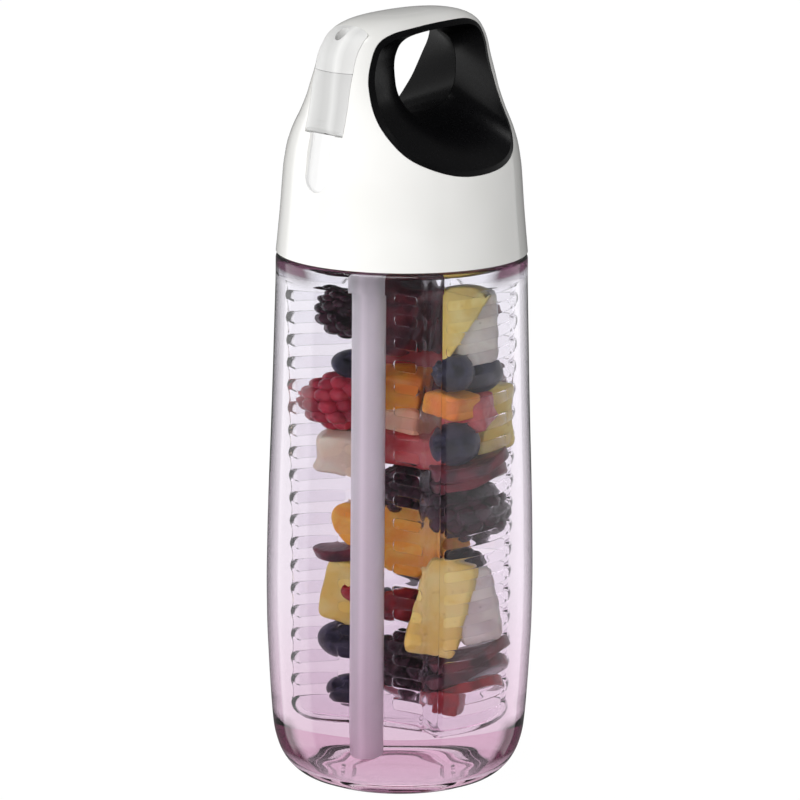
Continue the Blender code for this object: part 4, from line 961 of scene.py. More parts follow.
class CapForm:
    """Outer form of the cap and of the opening through it."""

    def __init__(self, sizes: CapSizes) -> None:
        self.sizes = sizes
        rows = sizes.outline_shares
        self.width = Curve([(row[0], row[1]) for row in rows])
        self.depth = Curve([(row[0], row[2]) for row in rows])
        self.power = Curve([(row[0], row[3]) for row in rows])
        self.throat = self._throat()
        self.rim = self._rim()

    def tilt(self, y: float, height: float) -> float:
        """Rise of the top of the cap towards its back."""
        low, high = self.sizes.tilt_shares
        share = (height - self.sizes.foot) / self.sizes.height
        t = clamped((share - low) / (high - low))
        return self.sizes.tilt_slope * y * t * t * (3.0 - 2.0 * t)

    def section(self, height: float) -> tuple[float, float, float]:
        """Half width, half depth and roundness of the cap at a height."""
        share = clamped((height - self.sizes.foot) / self.sizes.height)
        radius = self.sizes.skirt_radius
        return self.width.at(share) * radius, self.depth.at(share) * radius, self.power.at(share)

    def half_width(self, y: float, z: float) -> float:
        """Half width along X over a point of the side view."""
        height = z - self.tilt(y, z)
        width, depth, power = self.section(z - self.tilt(y, height))
        return width * (1.0 - min(abs(y) / depth, 1.0) ** power) ** (1.0 / power)

    def solid(self) -> bmesh.types.BMesh:
        """Closed outer solid."""
        s = self.sizes
        rows = s.outline_shares
        loft = Loft(s.segments)
        steps = 6
        for span in range(len(rows) - 1):
            picked = [rows[min(max(span + k, 0), len(rows) - 1)] for k in (-1, 0, 1, 2)]
            for step in range(steps + (span == len(rows) - 2)):
                row = between(*(Vector(values) for values in picked), step / steps)
                height = s.foot + min(row[0], 1.0) * s.height

                def place(index: int, row=row, height=height) -> Vector:
                    angle = math.tau * index / s.segments
                    x = rounded(math.cos(angle), row[3]) * min(row[1], 1.0) * s.skirt_radius
                    y = rounded(math.sin(angle), row[3]) * min(row[2], 1.0) * s.skirt_radius
                    return Vector((x, y, height + self.tilt(y, height)))
                loft.add(place)
        return loft.close_ends()

    def _throat(self) -> list[Vector]:
        """Narrowest section of the opening in side view."""
        s = self.sizes
        outline = []
        for step in range(s.loop_segments):
            angle = math.tau * step / s.loop_segments
            outline.append(Vector((
                s.throat_centre[0] + rounded(math.cos(angle), s.throat_power) * s.throat_half[0],
                s.throat_centre[1] + rounded(math.sin(angle), s.throat_power) * s.throat_half[1])))
        return outline

    def _rim(self) -> list[Vector]:
        """Rim of the opening in side view."""
        s = self.sizes
        centre = Vector(s.rim_centre)
        curve = closed_spline([(centre.x + y * s.rim_half[0], centre.y + z * s.rim_half[1])
                               for y, z in s.rim_shares], 80)
        outline = []
        for step in range(s.loop_segments):
            angle = math.tau * step / s.loop_segments
            wanted = Vector((math.cos(angle) * s.rim_half[0],
                             math.sin(angle) * s.rim_half[1])).normalized()
            outline.append(max(curve, key=lambda p: (p - centre).normalized().dot(wanted)))
        return outline

    def opening(self, growth: float, start: float | None = None,
                side: float = 1.0) -> bmesh.types.BMesh:
        """Solid of the flared opening.

        Args:
            growth: Distance outwards from the face that the liner shows.
            start: X of the first ring of one half, or None for the whole opening.
            side: Side of the half, +1 or -1.

        Returns:
            The closed mesh.
        """
        s = self.sizes
        throat = offset_outline(self.throat, growth)
        rim = offset_outline(self.rim, growth - s.liner_wall)
        loft = Loft(s.loop_segments)

        def ring(share: float, x_side: float, x: float | None = None) -> None:
            def place(step: int) -> Vector:
                back = math.cos(math.tau * step / s.loop_segments)
                limit = s.front_flare_power if back < 0.0 else s.back_flare_power
                power = s.flare_power + (limit - s.flare_power) * abs(back)
                point = throat[step].lerp(rim[step], share ** power)
                reach = share * self.half_width(*rim[step]) if x is None else x
                return Vector((x_side * reach, point.x, point.y))
            loft.add(place)
        shares = [1.03 * step / s.flare_steps for step in range(1, s.flare_steps + 1)]
        beyond = s.skirt_radius + OVERRUN
        if start is None:
            ring(shares[-1], -1.0, beyond)
            for share in reversed(shares):
                ring(share, -1.0)
            ring(0.0, 1.0, 0.0)
        else:
            ring(0.0, side, start)
        for share in shares:
            ring(share, 1.0 if start is None else side)
        ring(shares[-1], 1.0 if start is None else side, beyond)
        return loft.close_ends()


@dataclass(frozen=True)
class SpoutSizes:
    """Sizes of the flip spout and its channel."""

    pivot: Vector = field(default_factory=lambda: Vector((0.0, -28.726 * MM, 198.6 * MM)))
    hub_radius: float = 3.2 * MM
    half_width: float = 7.8 * MM
    back: float = 4.2 * MM
    back_slope: float = math.radians(7.0)
    bottom_rise: float = 1.4 * MM
    tip_rise: float = 15.4 * MM
    bore_radius: float = 1.8 * MM
    bore_tilt: float = math.radians(9.0)
    open_angle: float = math.radians(70.0)
    spare_angle: float = math.radians(6.0)
    fit_gap: float = 0.12 * MM
    corner: float = 1.0 * MM
    thumb_half_width: float = 4.7 * MM
    thumb_bottom: float = 179.3 * MM
    thumb_depth: float = 1.2 * MM
    thumb_round: float = 0.5 * MM
    edge: float = 0.25 * MM


class FlipSpout:
    """Spout body and soft tip, stowed in the front leg of the cap."""

    def __init__(self, sizes: SpoutSizes, form: CapForm, finishes: Finishes) -> None:
        self.sizes = sizes
        self.form = form
        self.finishes = finishes

    def back_y(self, height: float, gap: float) -> float:
        """Sloped rear face of the spout at a height."""
        s = self.sizes
        return s.pivot.y + s.back + gap + (height - s.pivot.z) * math.tan(s.back_slope)

    def channel(self) -> bmesh.types.BMesh:
        """Cutter for the channel and the notch below the spout."""
        s = self.sizes
        front = -self.form.sizes.skirt_radius - OVERRUN
        top = self.form.sizes.foot + self.form.sizes.height + OVERRUN
        cradle = s.hub_radius + s.fit_gap
        lip = math.atan2(s.hub_radius, s.bottom_rise) + s.open_angle + s.spare_angle
        lip_z = s.pivot.z + cradle * math.cos(lip)
        lip_y = s.pivot.y - cradle * math.sin(lip)
        return prism([(front, lip_z), (lip_y, lip_z), (s.pivot.y, s.pivot.z),
                      (self.back_y(s.pivot.z, s.fit_gap), s.pivot.z),
                      (self.back_y(top, s.fit_gap), top), (front, top)],
                     s.half_width + s.fit_gap)

    def cradle(self) -> bmesh.types.BMesh:
        """Cutter for the round seat of the hub."""
        across = Vector((self.sizes.half_width + self.sizes.fit_gap, 0.0, 0.0))
        return rod(self.sizes.pivot - across, self.sizes.pivot + across,
                   self.sizes.hub_radius + self.sizes.fit_gap, 64)

    def thumb_groove(self) -> bmesh.types.BMesh:
        """Cutter for the groove below the spout, leaning with the front of the cap."""
        s = self.sizes
        low, high = s.thumb_bottom, s.pivot.z
        front_low = -self.form.section(low)[1]
        front_high = -self.form.section(high)[1]
        lean = math.atan2(front_high - front_low, high - low)
        length = math.hypot(front_high - front_low, high - low)
        count = 40

        def outline(step: int, inset: float) -> tuple[float, float]:
            radius = s.thumb_half_width - inset
            if step == 0:
                return radius, length
            if step == count - 1:
                return -radius, length
            angle = math.pi * (step - 1) / (count - 3)
            return radius * math.cos(angle), s.thumb_half_width - radius * math.sin(angle)
        loft = Loft(count)
        round_size = s.thumb_round
        for y, inset in ((-OVERRUN, 0.0), (s.thumb_depth - round_size, 0.0),
                         (s.thumb_depth - 0.3 * round_size, 0.3 * round_size),
                         (s.thumb_depth, round_size)):
            def place(step: int, y=y, inset=inset) -> Vector:
                x, z = outline(step, inset)
                return Vector((x, y, z))
            loft.add(place)
        bm = loft.close_ends()
        turn = Matrix.Translation((0.0, front_low, low)) @ Matrix.Rotation(-lean, 4, "X")
        bmesh.ops.transform(bm, matrix=turn, verts=bm.verts)
        return bm

    def block(self, bottom: float, top: float) -> bmesh.types.BMesh:
        """Upright block between two heights with rounded upright edges."""
        s = self.sizes
        front = -self.form.sizes.skirt_radius - OVERRUN
        bm = prism([(front, bottom), (self.back_y(bottom, 0.0), bottom),
                    (self.back_y(top, 0.0), top), (front, top)], s.half_width)
        rear = [edge for edge in bm.edges
                if min(v.co.y for v in edge.verts) > s.pivot.y
                and abs(edge.verts[0].co.z - edge.verts[1].co.z) > 1.0 * MM]
        round_edges(bm, rear, s.corner, 4)
        return bm

    def build(self, trim: bpy.types.Object) -> tuple[bpy.types.Object, bpy.types.Object]:
        """Make the spout body and its tip, trimmed to the cap's outer form."""
        s = self.sizes
        step_height = s.pivot.z + s.tip_rise
        top = self.form.sizes.foot + self.form.sizes.height + OVERRUN
        aim = Vector((0.0, math.sin(s.bore_tilt), math.cos(s.bore_tilt)))
        body = Bench.piece("flip_spout_body", self.block(s.pivot.z + s.bottom_rise, step_height))
        across = Vector((s.half_width, 0.0, 0.0))
        Bench.carve(body, rod(s.pivot - across, s.pivot + across, s.hub_radius, 64), Cut.JOIN)
        tip = Bench.piece("flip_spout_tip", self.block(step_height + s.fit_gap, top))
        for part in (body, tip):
            Bench.carve(part, trim, Cut.KEEP_INSIDE)
            Bench.carve(part, rod(s.pivot - aim * (s.hub_radius + OVERRUN),
                                  s.pivot + aim * (top - s.pivot.z + OVERRUN), s.bore_radius))
            Bench.crisp(part)
            Bench.soften(part, s.edge)
        return body, tip

    def dress(self, body: bpy.types.Object, tip: bpy.types.Object) -> None:
        """Settle the spout body and its tip."""
        settle(body, Body.SPOUT, self.finishes.spout, Slot.FROSTED_SPOUT, ["spout_body"])
        settle(tip, Body.SPOUT, self.finishes.tip, Slot.SOFT_TIP, ["spout_tip"])
        report("spout body", body)
        report("spout tip", tip)


class Cap:
    """White shell and the two dark halves of the loop's liner."""

    def __init__(self, form: CapForm, spout: FlipSpout, finishes: Finishes) -> None:
        self.form = form
        self.spout = spout
        self.finishes = finishes

    def cavity(self) -> bmesh.types.BMesh:
        """Cutter for the hollow of the skirt."""
        s = self.form.sizes
        span = s.cavity_top - s.foot
        low = s.foot - OVERRUN
        wide = s.skirt_radius - s.skirt_wall
        return turned([(0.0, low), (wide + s.cavity_draft * OVERRUN / span, low),
                       (wide - s.cavity_draft, s.cavity_top), (0.0, s.cavity_top)],
                      s.segments, closed=False)

    def build(self) -> tuple[bpy.types.Object, list[bpy.types.Object], bpy.types.Object]:
        """Make the shell, the liner halves and the trimming solid."""
        s = self.form.sizes
        trim = Bench.piece("cap_trim", self.form.solid())
        shell = Bench.piece("cap_shell", self.form.solid())
        for cutter in (self.cavity(), self.form.opening(s.liner_wall + FINE_GAP),
                       self.spout.channel(), self.spout.cradle(), self.spout.thumb_groove()):
            Bench.carve(shell, cutter)
        Bench.crisp(shell)
        halves = []
        for name, side in (("loop_liner_half_near", 1.0), ("loop_liner_half_far", -1.0)):
            half = Bench.piece(name, self.form.opening(s.liner_wall, FINE_GAP, side))
            Bench.carve(half, trim, Cut.KEEP_INSIDE)
            Bench.carve(half, self.form.opening(0.0))
            Bench.crisp(half)
            halves.append(half)
        return shell, halves, trim

    def dress(self, shell: bpy.types.Object, halves: list[bpy.types.Object]) -> None:
        """Settle the shell and the liner halves."""
        settle(shell, Body.LID, self.finishes.white, Slot.WHITE_CAP, ["lid_shell"])
        # Faces in the thumb groove get the greyer finish, painted shade of the recess.
        shell.data.materials.append(self.finishes.groove)
        spout = self.spout.sizes
        for face in shell.data.polygons:
            centre = face.center
            low = centre.z < spout.pivot.z and abs(centre.x) < spout.thumb_half_width + FINE_GAP
            front = -self.form.section(centre.z)[1] * math.cos(math.asin(
                min(abs(centre.x) / self.form.section(centre.z)[0], 1.0)))
            if low and centre.z > spout.thumb_bottom and 2.5 * FINE_GAP < centre.y - front < \
                    spout.thumb_depth + spout.back:
                face.material_index = 1
        report("cap shell", shell)
        for half, node in zip(halves, ("loop_liner_near", "loop_liner_far")):
            settle(half, Body.LID, self.finishes.black, Slot.BLACK_LINER, [node])
            report(node, half)


# Straw and basket


@dataclass(frozen=True)
class StrawSizes:
    """Sizes of the straw."""

    radius: float = 4.0 * MM
    wall: float = 0.8 * MM
    foot: float = 8.5 * MM
    top: float = 184.6 * MM
    y: float = -10.5 * MM
    edge: float = 0.2 * MM
    segments: int = 64


class Straw:
    """Frosted tube in front of the basket."""

    def __init__(self, sizes: StrawSizes, finishes: Finishes) -> None:
        self.sizes = sizes
        self.finishes = finishes

    def build(self) -> bpy.types.Object:
        """Turn the tube with softened ends."""
        s = self.sizes
        bore = s.radius - s.wall
        section = [(bore, s.foot + s.edge), (bore, s.top - s.edge), (bore + s.edge, s.top),
                   (s.radius - s.edge, s.top), (s.radius, s.top - s.edge),
                   (s.radius, s.foot + s.edge), (s.radius - s.edge, s.foot),
                   (bore + s.edge, s.foot)]
        return Bench.crisp(Bench.piece("drinking_straw", turned(
            section, s.segments, Vector((0.0, s.y, 0.0)))), TUBE_SMOOTH_ANGLE)

    def dress(self, straw: bpy.types.Object) -> None:
        """Settle the straw."""
        settle(straw, Body.LID, self.finishes.straw, Slot.FROSTED_STRAW, ["straw"])
        report("straw", straw)


@dataclass(frozen=True)
class BasketSizes:
    """Sizes of the slotted basket."""

    radius: float = 25.9 * MM
    wall: float = 1.6 * MM
    floor: float = 2.0 * MM
    foot: float = 16.5 * MM
    straight: float = 166.1 * MM
    top: float = 172.3 * MM
    foot_share: float = 0.927
    lip_y: float = -9.0 * MM
    dish: float = 4.0 * MM
    corner: float = 5.0 * MM
    slot_height: float = 3.0 * MM
    slot_pitch: float = 6.75 * MM
    slot_rise: float = 8.3 * MM
    slot_rows: int = 19
    slot_spans: tuple = ((-14.0, 52.0), (58.0, 122.0), (128.0, 194.0))
    front_slot_start: float = 0.05
    front_slot_ends: tuple[float, float] = (0.61, 0.38)
    bead_shares: tuple[float, float] = (0.56, 0.97)
    bead_swell: float = 0.8 * MM
    rib_swell: float = 0.45 * MM
    rim_round: float = 0.3 * MM
    arc_steps: int = 84
    front_steps: int = 28


class Basket:
    """Clear infuser basket with rounded ribs between its level slots."""

    def __init__(self, sizes: BasketSizes, finishes: Finishes) -> None:
        self.sizes = sizes
        self.finishes = finishes
        self.count = sizes.arc_steps + sizes.front_steps
        self.lip_angle = math.asin(-sizes.lip_y / sizes.radius)

    def outline(self, share: float, inset: float) -> list[Vector]:
        """D-shaped section: a round back, and a front dished round the straw."""
        s = self.sizes
        radius, lip = s.radius * share, self.lip_angle
        outline = []
        for step in range(s.arc_steps + 1):
            angle = -lip + (math.pi + 2.0 * lip) * step / s.arc_steps
            outline.append(Vector((radius * math.cos(angle), radius * math.sin(angle))))
        half = radius * math.cos(lip)
        for step in range(1, s.front_steps):
            t = 2.0 * step / s.front_steps - 1.0
            first, last = s.bead_shares
            swell = math.sin(math.pi * clamped((abs(t) - first) / (last - first)))
            outline.append(Vector((half * t, s.lip_y * share - s.bead_swell * swell
                                   + s.dish * share * (1.0 - t * t))))
        return offset_outline(outline, -inset)

    def share_at(self, height: float) -> float:
        """Taper of the section at a height."""
        s = self.sizes
        low = s.foot + s.corner
        t = clamped((height - low) / (s.straight - low))
        return s.foot_share + (1.0 - s.foot_share) * t

    def levels(self) -> list[tuple[float, float]]:
        """Heights of the wall's rings and how far each lies inside the full section."""
        s = self.sizes
        levels = []
        for row in range(s.slot_rows):
            low = s.foot + s.slot_rise + s.slot_pitch * row - s.slot_height / 2
            high = low + s.slot_height
            rib = s.slot_pitch - s.slot_height
            levels += [(low, s.rib_swell), (high, s.rib_swell),
                       (high + 0.3 * rib, 0.0), (high + 0.7 * rib, 0.0)]
        return levels

    def wall_mesh(self) -> bmesh.types.BMesh:
        """Basket before its slots are opened."""
        s = self.sizes
        loft = Loft(self.count)

        def ring(height: float, share: float, inset: float) -> None:
            points = self.outline(share, inset)
            loft.add(lambda step: Vector((*points[step], height)))
        for step in range(6):
            angle = math.pi / 2 * step / 5
            ring(s.foot + s.corner * (1.0 - math.cos(angle)), s.foot_share,
                 s.corner * (1.0 - math.sin(angle)))
        for height, inset in self.levels():
            ring(height, self.share_at(height), inset)
        edge = s.rim_round
        for height, inset in ((s.straight, 0.0), (s.top - edge, 0.0), (s.top, edge),
                              (s.top, s.wall - edge), (s.top - edge, s.wall),
                              (s.straight, s.wall)):
            ring(height, 1.0, inset)
        for height, _ in reversed(self.levels()):
            ring(height, self.share_at(height), s.wall)
        inner_corner = s.corner - s.wall
        for step in range(6):
            angle = math.pi / 2 * (5 - step) / 5
            ring(s.foot + s.floor + inner_corner * (1.0 - math.cos(angle)), s.foot_share,
                 s.wall + inner_corner * (1.0 - math.sin(angle)))
        return loft.close_ends()

    def in_slot(self, centre: Vector) -> bool:
        """Whether a wall face lies where a slot is."""
        s = self.sizes
        rise = centre.z - s.foot - s.slot_rise + s.slot_height / 2
        row = math.floor(rise / s.slot_pitch)
        if not 0 <= row < s.slot_rows or rise - row * s.slot_pitch > s.slot_height:
            return False
        if centre.z > s.straight - s.slot_height:
            return False
        lip_x = s.radius * math.cos(self.lip_angle)
        front_limit = s.lip_y + s.dish + 2.0 * s.wall
        if centre.y < front_limit and abs(centre.x) < lip_x - 2.0 * s.wall:
            first, last = s.front_slot_ends
            climb = (centre.z - s.foot) / (s.top - s.foot)
            return s.front_slot_start < abs(centre.x) / lip_x < first + (last - first) * climb
        angle = math.degrees(math.atan2(centre.y, centre.x))
        angle += 360.0 if angle < -90.0 else 0.0
        return any(first < angle < last for first, last in s.slot_spans)

    def build(self) -> bpy.types.Object:
        """Open the slots in the wall and round their edges."""
        bm = self.wall_mesh()
        faces = [face for face in bm.faces
                 if abs(face.normal.z) < 0.8 and self.in_slot(face.calc_center_median())]
        bmesh.ops.delete(bm, geom=faces, context="FACES_KEEP_BOUNDARY")
        loops = self.open_loops(bm)
        loops.sort(key=lambda loop: loop[0])
        for (_, first), (_, second) in zip(loops[::2], loops[1::2]):
            bmesh.ops.bridge_loops(bm, edges=first + second)
        bmesh.ops.recalc_face_normals(bm, faces=bm.faces)
        return Bench.subdivide(Bench.piece("infuser_slotted_basket", bm), 1)

    def open_loops(self, bm: bmesh.types.BMesh) -> list[tuple[tuple, list]]:
        """Boundary loops of the slots, each with a key that an inner and an outer loop share."""
        waiting = {edge for edge in bm.edges if edge.is_boundary}
        loops = []
        while waiting:
            edges = [waiting.pop()]
            stack = list(edges[0].verts)
            while stack:
                for edge in stack.pop().link_edges:
                    if edge in waiting:
                        waiting.remove(edge)
                        edges.append(edge)
                        stack += edge.verts
            points = [vert.co for edge in edges for vert in edge.verts]
            middle = sum(points, Vector()) / len(points)
            row = round((middle.z - self.sizes.foot) / self.sizes.slot_pitch * 4.0)
            angle = math.degrees(math.atan2(middle.y, middle.x)) % 360.0
            loops.append(((row, self.sector(middle, angle), middle.length), edges))
        return loops

    @staticmethod
    def sector(middle: Vector, angle: float) -> int:
        """Number of the slot round the basket."""
        if middle.y < 0.0:
            return 4 if middle.x > 0.0 else 5
        return 1 if angle < 55.0 or angle > 300.0 else 2 if angle < 125.0 else 3

    def dress(self, basket: bpy.types.Object) -> None:
        """Settle the basket."""
        settle(basket, Body.INFUSER, self.finishes.basket, Slot.CLEAR_BASKET, ["infuser_basket"])
        report("basket", basket)


# Hidden pieces of the lid


@dataclass(frozen=True)
class SealSizes:
    """Sizes of the soft pieces inside the lid."""

    gasket_inner: float = 26.2 * MM
    gasket_outer: float = 29.8 * MM
    gasket_foot: float = 175.9 * MM
    gasket_thickness: float = 1.7 * MM
    grommet_inner: float = 4.8 * MM
    grommet_outer: float = 7.0 * MM
    grommet_foot: float = 174.3 * MM
    grommet_top: float = 180.1 * MM
    valve_y: float = 12.0 * MM
    valve_head: float = 4.2 * MM
    valve_stem: float = 1.4 * MM
    valve_bulb: float = 2.1 * MM
    deck_foot: float = 177.9 * MM
    deck_top: float = 180.4 * MM
    straw_y: float = -10.5 * MM
    fit_gap: float = 0.3 * MM
    edge: float = 0.4 * MM
    copy_edge: float = 0.15 * MM


class LidInside:
    """Core, duct, pins and soft seals of the lid."""

    def __init__(self, sizes: SealSizes, finishes: Finishes) -> None:
        self.sizes = sizes
        self.finishes = finishes

    @staticmethod
    def ring_section(inner: float, outer: float, foot: float, top: float,
                     edge: float) -> list[tuple[float, float]]:
        """Section of a ring with rounded edges."""
        section = []
        for r, z, first in ((outer - edge, top - edge, 0), (inner + edge, top - edge, 1),
                            (inner + edge, foot + edge, 2), (outer - edge, foot + edge, 3)):
            for step in range(4):
                angle = math.pi / 2 * (first + step / 3)
                section.append((r + edge * math.cos(angle), z + edge * math.sin(angle)))
        return section

    def build(self) -> dict[str, bpy.types.Object]:
        """Make the soft pieces with rounded edges."""
        s = self.sizes
        gasket = turned(self.ring_section(
            s.gasket_inner, s.gasket_outer, s.gasket_foot, s.gasket_foot + s.gasket_thickness,
            s.edge), 128)
        grommet = turned(self.ring_section(
            s.grommet_inner, s.grommet_outer, s.grommet_foot, s.grommet_top, s.edge), 64,
            Vector((0.0, s.straw_y, 0.0)))
        head_top = s.deck_foot - s.fit_gap
        bulb = s.deck_top + s.fit_gap
        valve = turned([
            (0.0, head_top - 1.4 * MM), (0.55 * s.valve_head, head_top - 1.35 * MM),
            (0.85 * s.valve_head, head_top - 0.9 * MM), (s.valve_head, head_top - 0.2 * MM),
            (s.valve_head, head_top), (s.valve_stem, head_top), (s.valve_stem, bulb),
            (s.valve_bulb, bulb), (s.valve_bulb, bulb + 0.4 * MM),
            (0.7 * s.valve_bulb, bulb + 1.5 * MM), (0.0, bulb + 1.8 * MM)], 48,
            Vector((0.0, s.valve_y, 0.0)), closed=False)
        return {"lid_gasket": Bench.piece("neck_gasket", gasket),
                "straw_grommet": Bench.piece("straw_sleeve", grommet),
                "vent_valve": Bench.piece("vent_mushroom", valve)}

    def rebuilt(self, node: str, name: str) -> bpy.types.Object:
        """Copy of a soft CAD node with merged points and rounded edges."""
        bm = bmesh.new()
        bm.from_mesh(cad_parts[node].data)
        bmesh.ops.remove_doubles(bm, verts=bm.verts, dist=0.005 * MM)
        bmesh.ops.dissolve_limit(bm, angle_limit=math.radians(3.0), verts=bm.verts,
                                 edges=bm.edges)
        bmesh.ops.recalc_face_normals(bm, faces=bm.faces)
        piece = Bench.crisp(Bench.piece(name, bm), COPY_SMOOTH_ANGLE)
        return Bench.soften(piece, self.sizes.copy_edge, 2, COPY_SMOOTH_ANGLE)

    def dress(self, seals: dict[str, bpy.types.Object]) -> None:
        """Settle the seals and repaint the rigid CAD nodes."""
        for node, piece in seals.items():
            body = Body.SEAL if node == "lid_gasket" else Body.LID
            settle(Bench.crisp(piece, TUBE_SMOOTH_ANGLE), body, self.finishes.seal,
                   Slot.SOFT_SEAL, [node])
            report(node, piece)
        for node, name in (("spout_seat", "spout_soft_seat"), ("infuser_ring", "basket_grip")):
            piece = self.rebuilt(node, name)
            settle(piece, Body.LID, self.finishes.seal, Slot.SOFT_SEAL, [node])
            report(node, piece)
        for node, material in (
                ("lid_core", self.finishes.core), ("flow_elbow", self.finishes.duct),
                ("hinge_pin_left", self.finishes.steel), ("hinge_pin_right", self.finishes.steel)):
            repaint(node, material)


# Fruit


class Kind(Enum):
    """Shapes of fruit."""

    BERRY = "berry"
    CLUSTER = "cluster"
    CHUNK = "chunk"
    SLICE = "slice"
    WEDGE = "wedge"


@dataclass(frozen=True)
class FruitPiece:
    """One piece of fruit, with its size along its own axes and its turns in degrees."""

    name: str
    kind: Kind
    finish: str
    place: tuple[float, float, float]
    size: tuple[float, float, float]
    turn: tuple[float, float, float] = (0.0, 0.0, 0.0)


class FruitShapes:
    """Meshes of fruit about the origin."""

    @staticmethod
    def thicken(bm: bmesh.types.BMesh) -> None:
        """Extrude a flat mesh upwards by one."""
        raised = bmesh.ops.extrude_face_region(bm, geom=bm.faces[:])["geom"]
        top = [part for part in raised if isinstance(part, bmesh.types.BMVert)]
        bmesh.ops.translate(bm, verts=top, vec=(0.0, 0.0, 1.0))

    @staticmethod
    def berry(size: Vector) -> bmesh.types.BMesh:
        """Round berry with a small five-pointed crown."""
        bm = bmesh.new()
        bmesh.ops.create_uvsphere(bm, u_segments=40, v_segments=28, radius=1.0)
        for vert in bm.verts:
            across = math.hypot(vert.co.x, vert.co.y)
            if vert.co.z > 0.0:
                ring = math.exp(-((across - 0.30) / 0.07) ** 2)
                lobes = 0.5 + 0.5 * math.cos(5.0 * math.atan2(vert.co.y, vert.co.x))
                dent = math.exp(-(across / 0.24) ** 4)
                vert.co.z += 0.10 * ring * lobes - 0.20 * dent
            vert.co = stretched(vert.co, size)
        return bm

    @staticmethod
    def cluster(size: Vector) -> bmesh.types.BMesh:
        """Berry of many small beads on a rounded cone."""
        bm = bmesh.new()
        count = 46
        bead = 0.30 * min(size)
        golden = math.pi * (3.0 - math.sqrt(5.0))
        for index in range(count):
            z = 1.0 - 2.0 * (index + 0.5) / count
            ring = math.sqrt(1.0 - z * z) * (1.0 - 0.22 * z)
            angle = golden * index
            place = Vector((ring * math.cos(angle) * (size.x - bead),
                            ring * math.sin(angle) * (size.y - bead), z * (size.z - bead)))
            grow = 1.0 + 0.12 * noise.noise(place * 900.0)
            bmesh.ops.create_icosphere(bm, subdivisions=2, radius=bead * grow,
                                       matrix=Matrix.Translation(place))
        return bm

    @staticmethod
    def chunk(size: Vector) -> bmesh.types.BMesh:
        """Hand-cut block with soft edges."""
        bm = bmesh.new()
        bmesh.ops.create_cube(bm, size=2.0)
        round_edges(bm, bm.edges[:], 0.28)
        bmesh.ops.subdivide_edges(bm, edges=bm.edges[:], cuts=2, use_grid_fill=True)
        for vert in bm.verts:
            drift = noise.noise_vector(vert.co * 1.1 + size * 900.0)
            vert.co = stretched(vert.co, size) + drift * 0.16 * min(size)
        bmesh.ops.recalc_face_normals(bm, faces=bm.faces)
        return bm

    @staticmethod
    def slice(size: Vector) -> bmesh.types.BMesh:
        """Bent round slice with a soft rim."""
        bm = bmesh.new()
        bmesh.ops.create_circle(bm, cap_ends=True, segments=48, radius=1.0)
        bmesh.ops.inset_region(bm, faces=bm.faces[:], thickness=0.25, use_even_offset=True)
        FruitShapes.thicken(bm)
        rims = [edge for edge in bm.edges
                if all(math.hypot(v.co.x, v.co.y) > 0.97 for v in edge.verts)
                and abs(edge.verts[0].co.z - edge.verts[1].co.z) < 0.1]
        for vert in bm.verts:
            x, y, z = vert.co
            vert.co = Vector((x * size.x, y * size.y, (z - 0.5) * 2.0 * size.z
                              + 0.18 * min(size.x, size.y) * (x * x - 0.5)))
        round_edges(bm, rims, 0.4 * size.z)
        bmesh.ops.recalc_face_normals(bm, faces=bm.faces)
        return bm

    @staticmethod
    def wedge(size: Vector) -> bmesh.types.BMesh:
        """Pointed wedge cut from a round slice, its point down."""
        bm = bmesh.new()
        bmesh.ops.create_circle(bm, cap_ends=True, segments=64, radius=1.0)
        half = math.radians(24.0)
        for side in (-1.0, 1.0):
            geom = bm.verts[:] + bm.edges[:] + bm.faces[:]
            bmesh.ops.bisect_plane(bm, geom=geom, plane_co=(0.0, 0.0, 0.0),
                                   plane_no=(side * math.cos(half), -math.sin(half), 0.0),
                                   clear_outer=True)
        width = math.sin(half)
        FruitShapes.thicken(bm)
        for vert in bm.verts:
            x, y, z = vert.co
            vert.co = Vector((x / width * size.x, (z - 0.5) * 2.0 * size.y,
                              (2.0 * y - 1.0) * size.z))
        bmesh.ops.recalc_face_normals(bm, faces=bm.faces)
        sharp = [edge for edge in bm.edges if edge.calc_face_angle(0.0) > math.radians(30.0)]
        round_edges(bm, sharp, 0.22 * size.y)
        return bm


